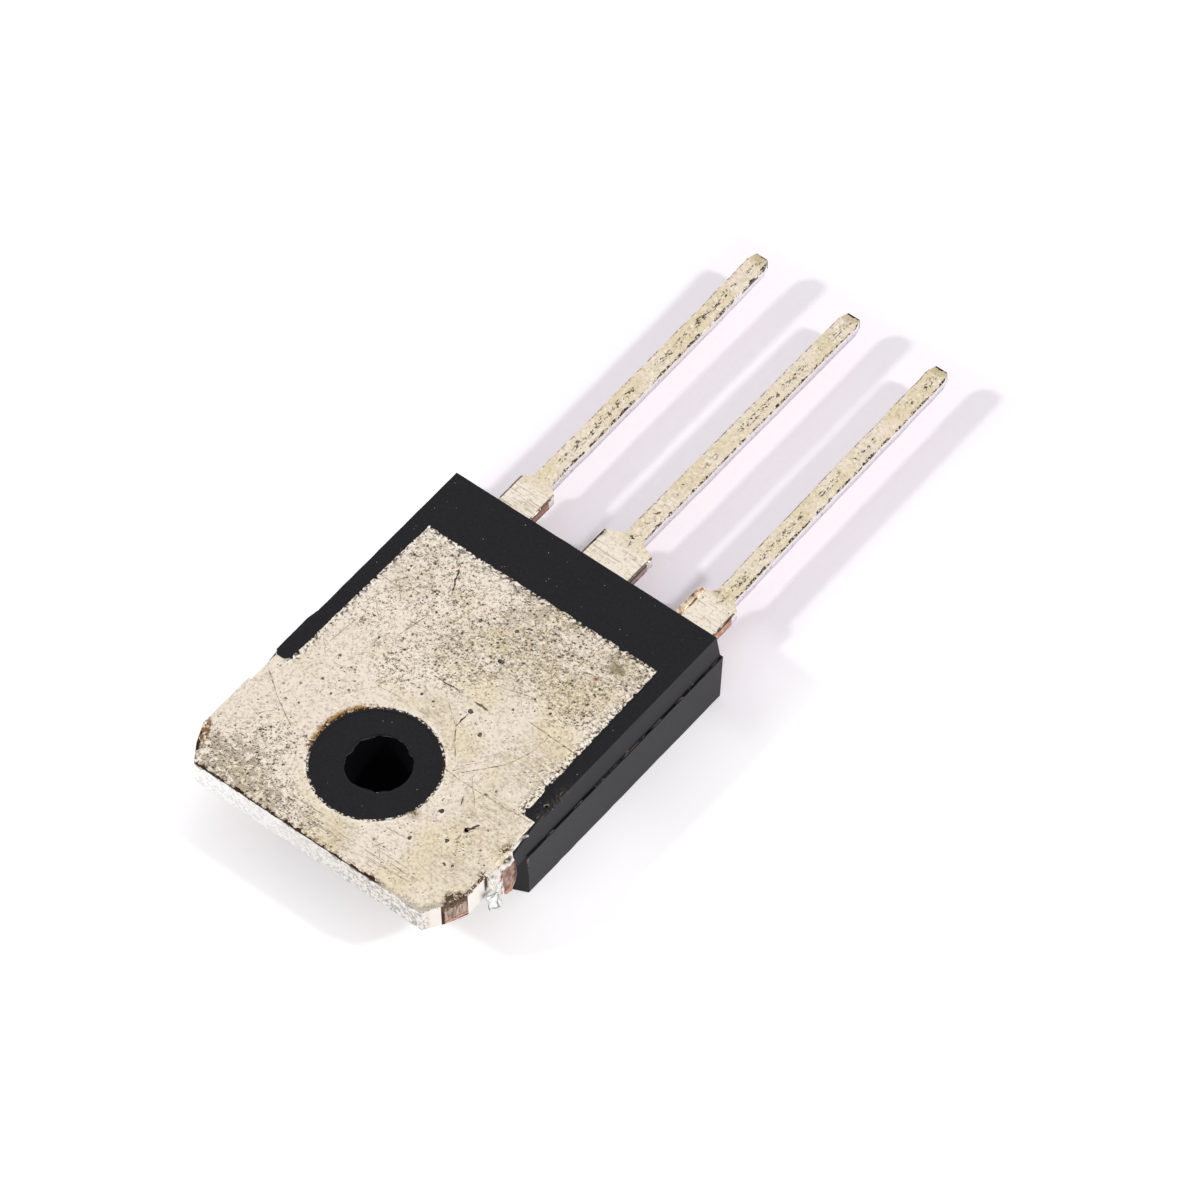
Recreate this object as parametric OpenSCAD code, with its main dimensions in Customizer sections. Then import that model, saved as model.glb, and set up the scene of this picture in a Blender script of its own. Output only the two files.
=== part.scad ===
// Dual power diode in a flat three-lead package of the SC-65 (TO-3P) outline.
// It lies on its moulded front face, with the bare metal header up.
// Origin: the axis of the screw hole, on the plane of the front face.
// +Y runs to the lead tips, +Z to the header's bare back, and X across. Millimetres.

/* [Moulding] */
// Overall thickness, front face to back face
body_h = 4.6; // [4.4:0.05:5.2]
// Width at the back face
back_w = 15.45; // [15.2:0.05:16.2]
// Screw-hole axis to the lead-end wall, at the back face
lead_end_y = 15; // [14.6:0.1:16]
// Draft of the back half's walls, in degrees
back_draft = 4.3; // [2:0.1:6]
// Draft of the front half's walls, in degrees
front_draft = 2.6; // [1.5:0.1:5]
// Ledge that the two mould halves leave at the parting line
parting_ledge = 0.09; // [0.03:0.01:0.15]
// Where the front half's full width ends, measured at the parting line
shoulder_y = 0.95; // [0.6:0.05:1.5]
// Slope of the shoulders that run from there to the neck, in degrees
shoulder_slope = 24; // [10:1:34]
// Width of the neck round the screw hole, at the parting line
neck_w = 9.6; // [8.6:0.1:11]
// Screw-hole axis to the neck's end wall, at the parting line
neck_reach = 3.6; // [3.5:0.05:4.2]
// Cut across the neck's two end corners
neck_corner = 1; // [0.5:0.1:1.6]
// Bore of the screw hole
hole_d = 3.25; // [3:0.05:3.6]

/* [Ejector marks] */
// Diameter of the two shallow marks that the ejector pins leave on the front face
mark_d = 2.2; // [1.5:0.1:3]
// Depth of each mark
mark_depth = 0.08; // [0.04:0.01:0.15]
// Side of the back face to the middle of each mark
mark_side_gap = 2.8; // [2:0.1:3.6]
// Lead-end wall, at the back face, to the middle of each mark
mark_end_gap = 3.4; // [2.5:0.1:5]

/* [Header] */
// Thickness of the header plate, which sets the height of the parting line
header_t = 1.55; // [1.4:0.05:1.7]
// How far the bare end stands out past the back face's edge, on each side
header_proud = 0.075; // [0:0.005:0.15]
// Screw-hole axis to the bare end's edge
header_reach = 5.15; // [4.6:0.05:5.6]
// Corner cut at the bare end, measured across the width
corner_cut_x = 1.13; // [0.8:0.01:1.6]
// Corner cut at the bare end, measured along the length
corner_cut_y = 2; // [1.2:0.05:2.4]
// How far the corner cut bows out from a straight line
corner_bow = 0.1; // [0.04:0.01:0.18]
// Wall of the moulding that lines the header's hole
liner_t = 1.445; // [1.3:0.005:1.6]
// Sideways and endways offset between the header's hole and the screw hole
header_hole_shift = 0.1; // [0:0.02:0.16]
// Thickness of the skin that covers the ears' sides, at the back face
skin_t = 0.075; // [0.05:0.005:0.15]
// Screw-hole axis to the end of that skin
skin_y = 0.05; // [-0.3:0.05:0.4]
// Height of the skin at its end, down from the back face
skin_drop = 0.55; // [0.2:0.05:0.9]
// Screw-hole axis to the notches, where the moulding's side rails end
notch_y = 1.84; // [1.6:0.02:2.2]
// Width of each side rail at its notch, at the back face
rail_w_notch = 0.725; // [0.65:0.005:0.9]
// Width of each side rail at the pad's lead end
rail_w_lead = 0.95; // [0.75:0.01:1.1]
// Width of the moulding from the pad to the lead-end wall, at the back face
end_rail_w = 3.1; // [2.8:0.05:3.5]
// Width of the coined ledge that locks the header's edge in the moulding
lock_w = 0.3; // [0.15:0.05:0.4]
// Height of that ledge
lock_h = 0.7; // [0.6:0.05:0.9]

/* [Torn tie bar] */
// End of the skin to the near end of the torn lip on the header's right side
lip_gap = 0.3; // [0.15:0.05:0.55]
// Length of the lip along the header's side
lip_l = 1.6; // [1.2:0.05:2.2]
// How far the lip stands out from the side
lip_out = 0.3; // [0.15:0.05:0.5]
// How far the lip hangs below the header's front surface
lip_hang = 0.65; // [0.3:0.05:1.1]
// Length left at the lip's lower end
lip_low_l = 0.5; // [0.3:0.05:0.8]
// Near end of the lip to the near side of its lower end
lip_rake = 0.3; // [0.1:0.05:0.4]

/* [Leads] */
// Lead pitch
pitch = 5.45; // [5.2:0.05:5.6]
// Thickness of the leads
lead_t = 0.6; // [0.5:0.05:0.7]
// Back face to the leads' back surface
lead_drop = 2.4; // [2.3:0.05:2.6]
// Width of the pins
pin_w = 1.03; // [0.9:0.01:1.2]
// Length of the leads, from the lead-end wall at the back face
lead_l = 20.1; // [18:0.1:21]
// Width left at the tips between their corner cuts
tip_w = 0.68; // [0.5:0.02:0.8]
// Length of the corner cuts at the tips
tip_cut = 0.5; // [0.3:0.05:0.8]
// Width of the two outer shoulders, where the dam bars were cut
shoulder_w = 2; // [1.8:0.05:2.3]
// Width of the middle shoulder
shoulder_mid_w = 2.85; // [2.6:0.05:3.1]
// Lead-end wall, at the back face, to the end of the shoulders' straight sides
shoulder_l = 3.05; // [2.6:0.05:3.6]
// Length of the taper from shoulder to pin
shoulder_taper = 0.42; // [0.2:0.02:0.8]
// Sideways lean of the left, middle and right pins at their tips
lean = [-0.05, 0.04, -0.16]; // [-0.3:0.01:0.3]

/* [Bond posts and strap] */
// Axis of an outer lead to the inner side of its bond post
post_in = 3.15; // [2.9:0.05:3.45]
// Axis of an outer lead to the outer side of its bond post
post_out = 1.25; // [1:0.05:1.4]
// Gap from the header's locking ledge to the posts and to the strap's bend
post_gap = 0.3; // [0.15:0.05:0.45]
// Length of the posts along the leads
post_l = 1.4; // [1.2:0.05:1.5]
// Locking hole through each post
post_hole_d = 0.8; // [0.6:0.05:0.9]
// Length along the lead of the bend that sets the strap off from the header
bend_l = 1; // [0.8:0.05:1.2]

/* [Chips and wires] */
// Side of each square diode chip
die_w = 4.6; // [3.8:0.1:4.8]
// Thickness of each chip
die_t = 0.3; // [0.2:0.02:0.4]
// Axis of an outer lead to the middle of its chip, across the device
die_in = 1.85; // [1.6:0.05:2.2]
// Pad's lead end to the middle of each chip
die_back = 4.2; // [3.8:0.1:4.8]
// Thickness of the solder under each chip
solder_t = 0.06; // [0.04:0.01:0.1]
// How far the solder runs out past the chip's edge
solder_rim = 0.12; // [0.05:0.01:0.2]
// Diameter of the bond wires
wire_d = 0.38; // [0.3:0.01:0.5]
// Spacing of the two wires on one chip
wire_gap = 1.6; // [1.2:0.1:2]
// Height of a wire's loop off the straight line between its two bonds
wire_loop = 0.9; // [0.7:0.05:1]
// Length of the flattened foot at each bond
foot_l = 0.9; // [0.7:0.05:1.1]
// Height of the foot
foot_h = 0.2; // [0.15:0.01:0.25]
// Width of the foot
foot_w = 0.5; // [0.45:0.01:0.6]

/* [Hidden] */
$fn = 96;

// Far larger than the part: the span of the half spaces and of the cutters.
span = 80;
// How far a cutter runs past the surface that it cuts.
over = 1;
// How far two bars that are joined into one run into each other.
overlap = 1;
// How deep the torn lip is rooted in the header.
lip_root = 0.3;

parting_z = body_h - header_t;
hole_r = hole_d / 2;
header_hole_r = hole_r + liner_t;
lead_top_z = body_h - lead_drop;
lead_low_z = lead_top_z - lead_t;

header_w = back_w + 2 * header_proud;
ear_w = back_w - 2 * skin_t;
pad_w_notch = back_w - 2 * rail_w_notch;
pad_w_lead = back_w - 2 * rail_w_lead;
pad_y = lead_end_y - end_rail_w;
shoulder_end_y = lead_end_y + shoulder_l;
tip_y = lead_end_y + lead_l;
post_y = pad_y + lock_w + post_gap;
bend_y = post_y;

// The back half meets the parting plane this much wider than at the back face.
back_flare = header_t * tan(back_draft);
front_flare = back_flare + parting_ledge;

solder_z = parting_z - solder_t;
die_z = solder_z - die_t;
die_x = pitch - die_in;
die_y = pad_y - die_back;
wire_die_y = die_y + die_w / 4;
wire_post_y = post_y + post_l / 2;

// ---- Moulding -------------------------------------------------------------

// One mould half: the space between the parting plane and z_far, inside drafted walls.
// Each wall is [direction of its outward normal, distance from the origin at the parting plane].
module drafted_half(walls, draft, z_far) {
    rise = sign(z_far - parting_z);
    intersection() {
        translate([-span / 2, -span / 2, min(parting_z, z_far)])
            cube([span, span, abs(z_far - parting_z)]);
        intersection_for (wall = walls)
            rotate([0, 0, wall[0]])
            translate([wall[1], 0, parting_z])
            rotate([0, -rise * draft, 0])
            translate([-span, -span / 2, -span / 2])
                cube(span);
    }
}

// Distance from the origin to a line through a point, along the line's normal.
function reach(point, angle) = point[0] * cos(angle) + point[1] * sin(angle);

module back_half() {
    side = back_w / 2 + back_flare;
    difference() {
        drafted_half(
            [[0, side], [180, side], [90, lead_end_y + back_flare]],
            back_draft, body_h
        );
        // Everything past the end of the skins, and the slope along their top.
        translate([-span / 2, -span, 0])
            cube([span, span + skin_y, span]);
        rotate([90, 0, 90])
            linear_extrude(span, center = true)
            polygon([
                [skin_y - over, body_h - skin_drop],
                [skin_y, body_h - skin_drop],
                [notch_y, body_h],
                [notch_y, body_h + over],
                [skin_y - over, body_h + over]
            ]);
    }
}

module front_half() {
    side = back_w / 2 + front_flare;
    lead_wall = [90, lead_end_y + front_flare];
    corner = [side, shoulder_y];
    slope_r = reach(corner, shoulder_slope - 90);
    neck = [neck_w / 2, neck_reach];
    cut_r = reach([neck[0] - neck_corner, -neck[1]], -45);
    // Full width, ending in the two sloped shoulders.
    drafted_half(
        [
            [0, side], [180, side], lead_wall,
            [shoulder_slope - 90, slope_r], [-90 - shoulder_slope, slope_r]
        ],
        front_draft, 0
    );
    // The neck round the screw hole.
    drafted_half(
        [
            [0, neck[0]], [180, neck[0]], lead_wall,
            [-90, neck[1]], [-45, cut_r], [-135, cut_r]
        ],
        front_draft, 0
    );
}

module header_hole(r, z_low, z_high) {
    translate([-header_hole_shift, -header_hole_shift, z_low])
        cylinder(h = z_high - z_low, r = r);
}

module mould_body() {
    color("#2c2b2f")
    difference() {
        union() {
            front_half();
            back_half();
            header_hole(header_hole_r, parting_z / 2, body_h);
        }
        translate([0, 0, -over])
            cylinder(h = body_h + 2 * over, r = hole_r);
        for (side = [-1, 1])
            translate([side * (back_w / 2 - mark_side_gap), lead_end_y - mark_end_gap, -over])
                cylinder(h = over + mark_depth, d = mark_d);
        header();
        strap();
        for (side = [-1, 1]) {
            anode_lead(side);
            die(side);
            solder(side);
            for (place = [-1, 1])
                bond_wire(side, place);
        }
    }
}

// ---- Cathode frame: header plate, strap and middle lead --------------------

// The right-hand side of an outline, closed by its mirror image.
module mirrored_outline(right) {
    n = len(right);
    left = [for (i = [0:n - 1]) [-right[n - 1 - i][0], right[n - 1 - i][1]]];
    polygon(concat(right, left));
}

// The header's outline; grow widens only the part that the moulding holds.
module header_outline(grow) {
    half_w = header_w / 2;
    cut_mid = [half_w - corner_cut_x / 2, -header_reach + corner_cut_y / 2];
    cut_l = norm([corner_cut_x, corner_cut_y]);
    bow = corner_bow * [corner_cut_y, -corner_cut_x] / cut_l;
    mirrored_outline([
        [half_w - corner_cut_x, -header_reach],
        cut_mid + bow,
        [half_w, -header_reach + corner_cut_y],
        [half_w, skin_y],
        [ear_w / 2, skin_y],
        [ear_w / 2, notch_y],
        [pad_w_notch / 2 + grow, notch_y],
        [pad_w_lead / 2 + grow, pad_y + grow]
    ]);
}

module header() {
    difference() {
        union() {
            translate([0, 0, parting_z])
                linear_extrude(header_t)
                header_outline(0);
            translate([0, 0, parting_z])
                linear_extrude(lock_h)
                header_outline(lock_w);
        }
        header_hole(header_hole_r, parting_z - over, body_h + over);
    }
}

// The strap that steps down from the header to the plane of the leads.
module strap() {
    fall = parting_z - lead_low_z;
    shift = lead_t * tan(atan2(fall, bend_l) / 2);
    root_y = pad_y - overlap;
    end_y = shoulder_end_y - overlap;
    rotate([90, 0, 90])
        linear_extrude(shoulder_mid_w, center = true)
        polygon([
            [root_y, parting_z],
            [bend_y, parting_z],
            [bend_y + bend_l, lead_low_z],
            [end_y, lead_low_z],
            [end_y, lead_top_z],
            [bend_y + bend_l + shift, lead_top_z],
            [bend_y + shift, parting_z + lead_t],
            [root_y, parting_z + lead_t]
        ]);
}

// A shoulder and pin in plan, from start_y to the tip, with its tip leaning aside.
module lead_outline(w, start_y, tip_lean) {
    neck_y = shoulder_end_y + shoulder_taper;
    cut_y = tip_y - tip_cut;
    cut_lean = tip_lean * (cut_y - neck_y) / (tip_y - neck_y);
    polygon([
        [-w / 2, start_y],
        [w / 2, start_y],
        [w / 2, shoulder_end_y],
        [pin_w / 2, neck_y],
        [cut_lean + pin_w / 2, cut_y],
        [tip_lean + tip_w / 2, tip_y],
        [tip_lean - tip_w / 2, tip_y],
        [cut_lean - pin_w / 2, cut_y],
        [-pin_w / 2, neck_y],
        [-w / 2, shoulder_end_y]
    ]);
}

// What the cropping tool tore out of the tie bar and pushed down the header's side:
// the lip's outline in side view, cut to its section in end view.
module torn_lip() {
    side_x = header_w / 2;
    mid_z = parting_z + header_t / 2;
    low_z = parting_z - lip_hang;
    near_y = skin_y - lip_gap;
    far_y = near_y - lip_l;
    low_y = near_y - lip_rake;
    intersection() {
        rotate([90, 0, 90])
            linear_extrude(side_x + lip_out)
            polygon([
                [near_y, body_h],
                [far_y, body_h],
                [far_y, mid_z],
                [low_y - lip_low_l, low_z],
                [low_y, low_z],
                [near_y, mid_z]
            ]);
        translate([0, near_y])
            rotate([90, 0, 0])
            linear_extrude(lip_l)
            polygon([
                [side_x - lip_root, parting_z],
                [side_x, low_z],
                [side_x + lip_out, low_z],
                [side_x + lip_out, mid_z],
                [side_x + lip_out / 2, body_h],
                [side_x - lip_root, body_h]
            ]);
    }
}

module cathode_frame() {
    color("#d8cbb6")
    union() {
        header();
        strap();
        translate([0, 0, lead_low_z])
            linear_extrude(lead_t)
            lead_outline(shoulder_mid_w, shoulder_end_y - 2 * overlap, lean[1]);
        torn_lip();
    }
}

// ---- Outer leads ------------------------------------------------------------

// side is -1 for the left lead and 1 for the right.
module anode_lead(side) {
    tip_lean = side < 0 ? lean[0] : lean[2];
    post_mid_x = side * (pitch + (post_out - post_in) / 2);
    post_w = post_in + post_out;
    difference() {
        translate([0, 0, lead_low_z])
            linear_extrude(lead_t)
            union() {
                translate([side * pitch, 0])
                    lead_outline(shoulder_w, post_y + post_l / 2, tip_lean);
                translate([post_mid_x - post_w / 2, post_y])
                    square([post_w, post_l]);
            }
        translate([side * pitch, post_y + post_l, lead_low_z - over])
            cylinder(h = lead_t + 2 * over, d = post_hole_d);
    }
}

module anode_lead_left() {
    color("#dccfba") anode_lead(-1);
}

module anode_lead_right() {
    color("#dccfba") anode_lead(1);
}

// ---- Chips, solder and wires --------------------------------------------------

module die(side) {
    translate([side * die_x - die_w / 2, die_y - die_w / 2, die_z])
        cube([die_w, die_w, die_t]);
}

module die_left() {
    color("#5b6470") die(-1);
}

module die_right() {
    color("#5b6470") die(1);
}

module solder(side) {
    solder_w = die_w + 2 * solder_rim;
    translate([side * die_x - solder_w / 2, die_y - solder_w / 2, solder_z])
        cube([solder_w, solder_w, solder_t]);
}

module solder_left() {
    color("#a9abad") solder(-1);
}

module solder_right() {
    color("#a9abad") solder(1);
}

// One wire: a foot on the chip, an arc towards the front face, a foot on the post.
// place is -1 for the wire on the outer side of its chip in X and 1 for the other.
module bond_wire(side, place) {
    start = [wire_die_y, die_z - wire_d / 2];
    end = [wire_post_y, lead_low_z - wire_d / 2];
    chord = end - start;
    chord_l = norm(chord);
    loop_r = (chord_l * chord_l / 4 + wire_loop * wire_loop) / (2 * wire_loop);
    half_angle = asin(chord_l / 2 / loop_r);
    back = [-chord[1], chord[0]] / chord_l;
    centre = (start + end) / 2 + (loop_r - wire_loop) * back;
    bottom_angle = atan2(-back[1], -back[0]);
    x = side * die_x + place * wire_gap / 2;
    translate([x, centre[0], centre[1]])
        rotate([90, 0, 90])
        rotate([0, 0, bottom_angle - half_angle])
        rotate_extrude(angle = 2 * half_angle)
        translate([loop_r, 0])
            circle(d = wire_d);
    for (foot = [[start[0], die_z], [end[0], lead_low_z]])
        translate([x - foot_w / 2, foot[0] - foot_l / 2, foot[1] - foot_h])
            cube([foot_w, foot_l, foot_h]);
}

module bond_wire_left_outer() {
    color("#c9cccf") bond_wire(-1, -1);
}

module bond_wire_left_inner() {
    color("#c9cccf") bond_wire(-1, 1);
}

module bond_wire_right_inner() {
    color("#c9cccf") bond_wire(1, -1);
}

module bond_wire_right_outer() {
    color("#c9cccf") bond_wire(1, 1);
}

mould_body();
cathode_frame();
anode_lead_left();
anode_lead_right();
die_left();
die_right();
solder_left();
solder_right();
bond_wire_left_outer();
bond_wire_left_inner();
bond_wire_right_inner();
bond_wire_right_outer();
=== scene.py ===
# %% [markdown]
# # A three-lead power diode, lying on its moulded face
# The part is a black epoxy block cast round a plated copper header. The header's bare back
# is the face that a heatsink takes, with the screw hole through it, and three flat leads
# leave the far end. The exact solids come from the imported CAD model. This lesson gives
# them their finish and the marks of the press, the mould and a long life in a drawer.

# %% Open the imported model
import math
import random
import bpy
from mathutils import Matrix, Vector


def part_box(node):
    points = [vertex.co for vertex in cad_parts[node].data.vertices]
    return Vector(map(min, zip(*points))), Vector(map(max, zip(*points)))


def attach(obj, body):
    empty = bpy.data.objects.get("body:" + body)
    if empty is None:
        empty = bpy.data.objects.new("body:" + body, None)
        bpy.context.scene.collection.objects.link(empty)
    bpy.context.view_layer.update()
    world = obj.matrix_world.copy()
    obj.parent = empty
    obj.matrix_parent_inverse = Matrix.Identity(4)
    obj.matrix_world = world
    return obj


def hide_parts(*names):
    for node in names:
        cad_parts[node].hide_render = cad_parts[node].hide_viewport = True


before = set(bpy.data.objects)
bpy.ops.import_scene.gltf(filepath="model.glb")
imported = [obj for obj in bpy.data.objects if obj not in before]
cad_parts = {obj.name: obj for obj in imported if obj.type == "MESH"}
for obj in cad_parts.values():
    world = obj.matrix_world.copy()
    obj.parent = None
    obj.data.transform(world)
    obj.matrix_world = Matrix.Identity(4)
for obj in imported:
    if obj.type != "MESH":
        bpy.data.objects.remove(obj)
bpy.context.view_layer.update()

from types import SimpleNamespace

import bmesh
import bpy
from mathutils import Matrix, Vector, noise
from mathutils.bvhtree import BVHTree

MM = 0.001
print("nodes:", ", ".join(sorted(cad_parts)))

# %% [markdown]
# The sizes that the pieces below share are read off the model, so that nothing here has to
# be kept in step by hand. The moulding's box gives the back face, the header's box gives
# the lead tips, and an outer lead's box gives the leads' top. The others are the model's
# own, written in millimetres as a drawing would have them.

# %% Sizes from the model
def box_mm(node):
    """A node's lowest and highest corners, in millimetres."""
    low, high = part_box(node)
    return Vector(low) / MM, Vector(high) / MM


BACK_Z = box_mm("mould_body")[1].z      # the bare back of the header and the back face
HEADER_T = 1.55
PARTING_Z = BACK_Z - HEADER_T
PAD_Y = 11.9
WALL_Y = 15.0                           # lead-end wall, at the back face
TIP_Y = box_mm("cathode_frame")[1].y
PITCH = 5.45
LEAD_TOP_Z = box_mm("anode_lead_right")[1].z
RING_X, RING_Y, RING_R = -0.1, -0.1, 3.07
HOLE_R = 1.625
print(f"back face at {BACK_Z:.2f} mm, lead tips at {TIP_Y:.2f} mm, leads {LEAD_TOP_Z:.2f} mm up")

# %% [markdown]
# ## Camera
# Small parts are shot from far off with a long lens, so that edges stay almost parallel.
# The camera stands 435 mm away, 54 degrees up, and looks across the tab's right corner.
# It aims at a point half-way along the part and is rolled by two degrees.

# %% Place the camera
CAMERA_ELEVATION = math.radians(53.7616)
CAMERA_AZIMUTH = math.radians(40.6191)
CAMERA_ROLL = math.radians(-2.2037)
CAMERA_DISTANCE = 435.495
CAMERA_TARGET = Vector((-0.0338, 15.9161, 0.0))
FRAME_PIXELS = 1200
FOCAL_PIXELS = 9339.68
SENSOR = 36.0

back = Vector((
    math.cos(CAMERA_ELEVATION) * math.sin(CAMERA_AZIMUTH),
    -math.cos(CAMERA_ELEVATION) * math.cos(CAMERA_AZIMUTH),
    math.sin(CAMERA_ELEVATION),
))
camera_data = bpy.data.cameras.new("camera")
camera_data.sensor_width = SENSOR
camera_data.lens = SENSOR * FOCAL_PIXELS / FRAME_PIXELS
camera_data.clip_start = 0.01
camera_data.clip_end = 10.0
camera = bpy.data.objects.new("camera", camera_data)
look = (-back).to_track_quat("-Z", "Y").to_matrix().to_4x4()
camera.matrix_world = (
    Matrix.Translation((CAMERA_TARGET + back * CAMERA_DISTANCE) * MM)
    @ look
    @ Matrix.Rotation(CAMERA_ROLL, 4, "Z")
)
bpy.context.collection.objects.link(camera)
bpy.context.scene.camera = camera
print(f"lens {camera_data.lens:.1f} mm, {CAMERA_DISTANCE:.0f} mm from the part")

# %% [markdown]
# ## Helpers for materials
# Colours are written as they are picked, in sRGB, and one function turns them into the
# linear values that the shader works with. A second function adds a node, sets it up and
# links what feeds it, so that each recipe below reads from top to bottom.

# %% Colour and node helpers
def colour(code):
    """An sRGB hex colour as linear RGBA."""
    parts = [int(code[i:i + 2], 16) / 255 for i in (1, 3, 5)]
    linear = [c / 12.92 if c <= 0.04045 else ((c + 0.055) / 1.055) ** 2.4 for c in parts]
    return (*linear, 1.0)


def add(tree, kind, inputs=(), **settings):
    """Adds a node: settings first, then inputs in order, as numbers, nodes or sockets."""
    node = tree.nodes.new(kind)
    for name, value in settings.items():
        setattr(node, name, value)
    if isinstance(inputs, dict):
        pairs = [(node.inputs[name], value) for name, value in inputs.items()]
    else:
        pairs = zip([s for s in node.inputs if s.enabled], inputs)
    for socket, value in pairs:
        if isinstance(value, bpy.types.Node):
            value = next(s for s in value.outputs if s.enabled)
        if isinstance(value, bpy.types.NodeSocket):
            tree.links.new(value, socket)
        elif value is not None:
            socket.default_value = value
    return node


def start_material(name):
    """An empty material, its node tree and its position in millimetres."""
    made = bpy.data.materials.new(name)
    made.use_nodes = True
    tree = made.node_tree
    tree.nodes.clear()
    place = add(tree, "ShaderNodeTexCoord").outputs["Object"]
    return made, tree, add(tree, "ShaderNodeVectorMath", (place, 1 / MM), operation="SCALE")


def finish_material(tree, base, roughness, height=None, bump_mm=0.01, **sockets):
    """Ends a recipe in one shader, with an optional bump of a real height."""
    shader = add(tree, "ShaderNodeBsdfPrincipled",
                 {"Base Color": base, "Roughness": roughness, **sockets})
    if height is not None:
        bump = add(tree, "ShaderNodeBump",
                   {"Strength": 1.0, "Distance": bump_mm * MM, "Height": height})
        tree.links.new(bump.outputs["Normal"], shader.inputs["Normal"])
    output = add(tree, "ShaderNodeOutputMaterial")
    tree.links.new(shader.outputs["BSDF"], output.inputs["Surface"])


print("helpers ready, copper is", [round(c, 3) for c in colour("#B87350")[:3]])

# %% [markdown]
# ## Floor and light
# The part lies on white card under two soft boxes. The card is a matt white, with a painted
# cool shade round the leads. What the camera sees of it is lifted by a little light of its own,
# so that open card is clean white while the shadows stay, and so that the metal mirrors the
# same white. That glow is painted stronger in a few places, where it lightens the shadows.

# %% Card
CARD_SIZE = 900.0
SHADE_MIDDLE = (-0.2, 26.7)             # mm, the box of soft shade between and beside the leads
SHADE_HALF = (8.3, 10.3)


def card_finish():
    """Matt card: even white where it is open, with a soft cool painted shade that gathers at the part,
    and a glow of its own that is painted stronger in places.
    """
    made, tree, place = start_material("white card, matt")
    path = add(tree, "ShaderNodeLightPath")
    seen = add(tree, "ShaderNodeMath", (path.outputs["Is Camera Ray"], path.outputs["Is Glossy Ray"]),
               operation="ADD", use_clamp=True)
    at = add(tree, "ShaderNodeSeparateXYZ", (place,))

    # how far a point lies outside the shaded box round the leads, in mm
    beside = add(tree, "ShaderNodeMath", (at.outputs["X"], SHADE_MIDDLE[0]), operation="SUBTRACT")
    beside = add(tree, "ShaderNodeMath", (beside,), operation="ABSOLUTE")
    beside = add(tree, "ShaderNodeMath", (beside, SHADE_HALF[0]), operation="SUBTRACT")
    beyond = add(tree, "ShaderNodeMath", (at.outputs["Y"], SHADE_MIDDLE[1]), operation="SUBTRACT")
    beyond = add(tree, "ShaderNodeMath", (beyond,), operation="ABSOLUTE")
    beyond = add(tree, "ShaderNodeMath", (beyond, SHADE_HALF[1]), operation="SUBTRACT")
    outside = add(tree, "ShaderNodeMath", (beside, beyond, 1.5), operation="SMOOTH_MAX")
    open_card = add(tree, "ShaderNodeMapRange", (outside, -0.6, 3.6), interpolation_type="SMOOTHSTEP")

    # painted shade: inside the box round the leads the card is tinted a cool lavender
    fibres = add(tree, "ShaderNodeTexNoise", (place, 3.0, 4.0, 0.6))
    shaded = add(tree, "ShaderNodeMix", (fibres, colour("#F3ECF5"), colour("#F8F2FA")), data_type="RGBA")
    tone = add(tree, "ShaderNodeMix", (open_card, shaded, colour("#F5F2F6")), data_type="RGBA")
    matt = add(tree, "ShaderNodeBsdfDiffuse", {"Color": tone})
    # painted light: the card's glow is stronger left of the part, on its right flank and beside the
    # right-hand lead's shoulder, so the shadows there read lighter
    left = add(tree, "ShaderNodeMapRange", (at.outputs["X"], -5.0, -11.0, 0.31, 0.5),
               interpolation_type="SMOOTHSTEP")
    flank = add(tree, "ShaderNodeVectorMath", (place, (8.0, 3.5, 0.0)), operation="DISTANCE")
    flank = add(tree, "ShaderNodeMapRange", (flank.outputs["Value"], 6.0, 2.0, 0.0, 0.06),
                interpolation_type="SMOOTHSTEP")
    away = add(tree, "ShaderNodeMath", (left, flank), operation="ADD")
    nook_glow = add(tree, "ShaderNodeVectorMath", (place, (8.0, 17.2, 0.0)), operation="DISTANCE")
    nook_glow = add(tree, "ShaderNodeMapRange", (nook_glow.outputs["Value"], 3.4, 0.6, 0.085, 0.21),
               interpolation_type="SMOOTHSTEP")
    lift = add(tree, "ShaderNodeMix", (open_card, nook_glow, away))
    lift = add(tree, "ShaderNodeMath", (seen, lift), operation="MULTIPLY")
    glow = add(tree, "ShaderNodeEmission", {"Color": colour("#FFFFFF"), "Strength": lift})
    both = add(tree, "ShaderNodeAddShader", (matt, glow))
    output = add(tree, "ShaderNodeOutputMaterial")
    tree.links.new(both.outputs[0], output.inputs["Surface"])
    return made


bm = bmesh.new()
bmesh.ops.create_grid(bm, x_segments=1, y_segments=1, size=CARD_SIZE / 2 * MM)
card_mesh = bpy.data.meshes.new("card")
bm.to_mesh(card_mesh)
bm.free()
card_mesh.materials.append(card_finish())
card = bpy.data.objects.new("card", card_mesh)
card.location.z = -0.01 * MM
bpy.context.collection.objects.link(card)
print("card", CARD_SIZE, "mm square")

# %% [markdown]
# ## Lamps and room
# Two soft boxes and a pale room light the card. A soft box that stands far away gives
# nearly parallel light, so each is a sun with a wide disc. Area lamps would do as well, but
# their light falls off across the card, and each one's share would be harder to state.

# %% Lamps and room
KEY_SHARE = 0.25                        # of the light that reaches open card
FILL_SHARE = 0.22
ROOM_SHARE = 0.55


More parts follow.
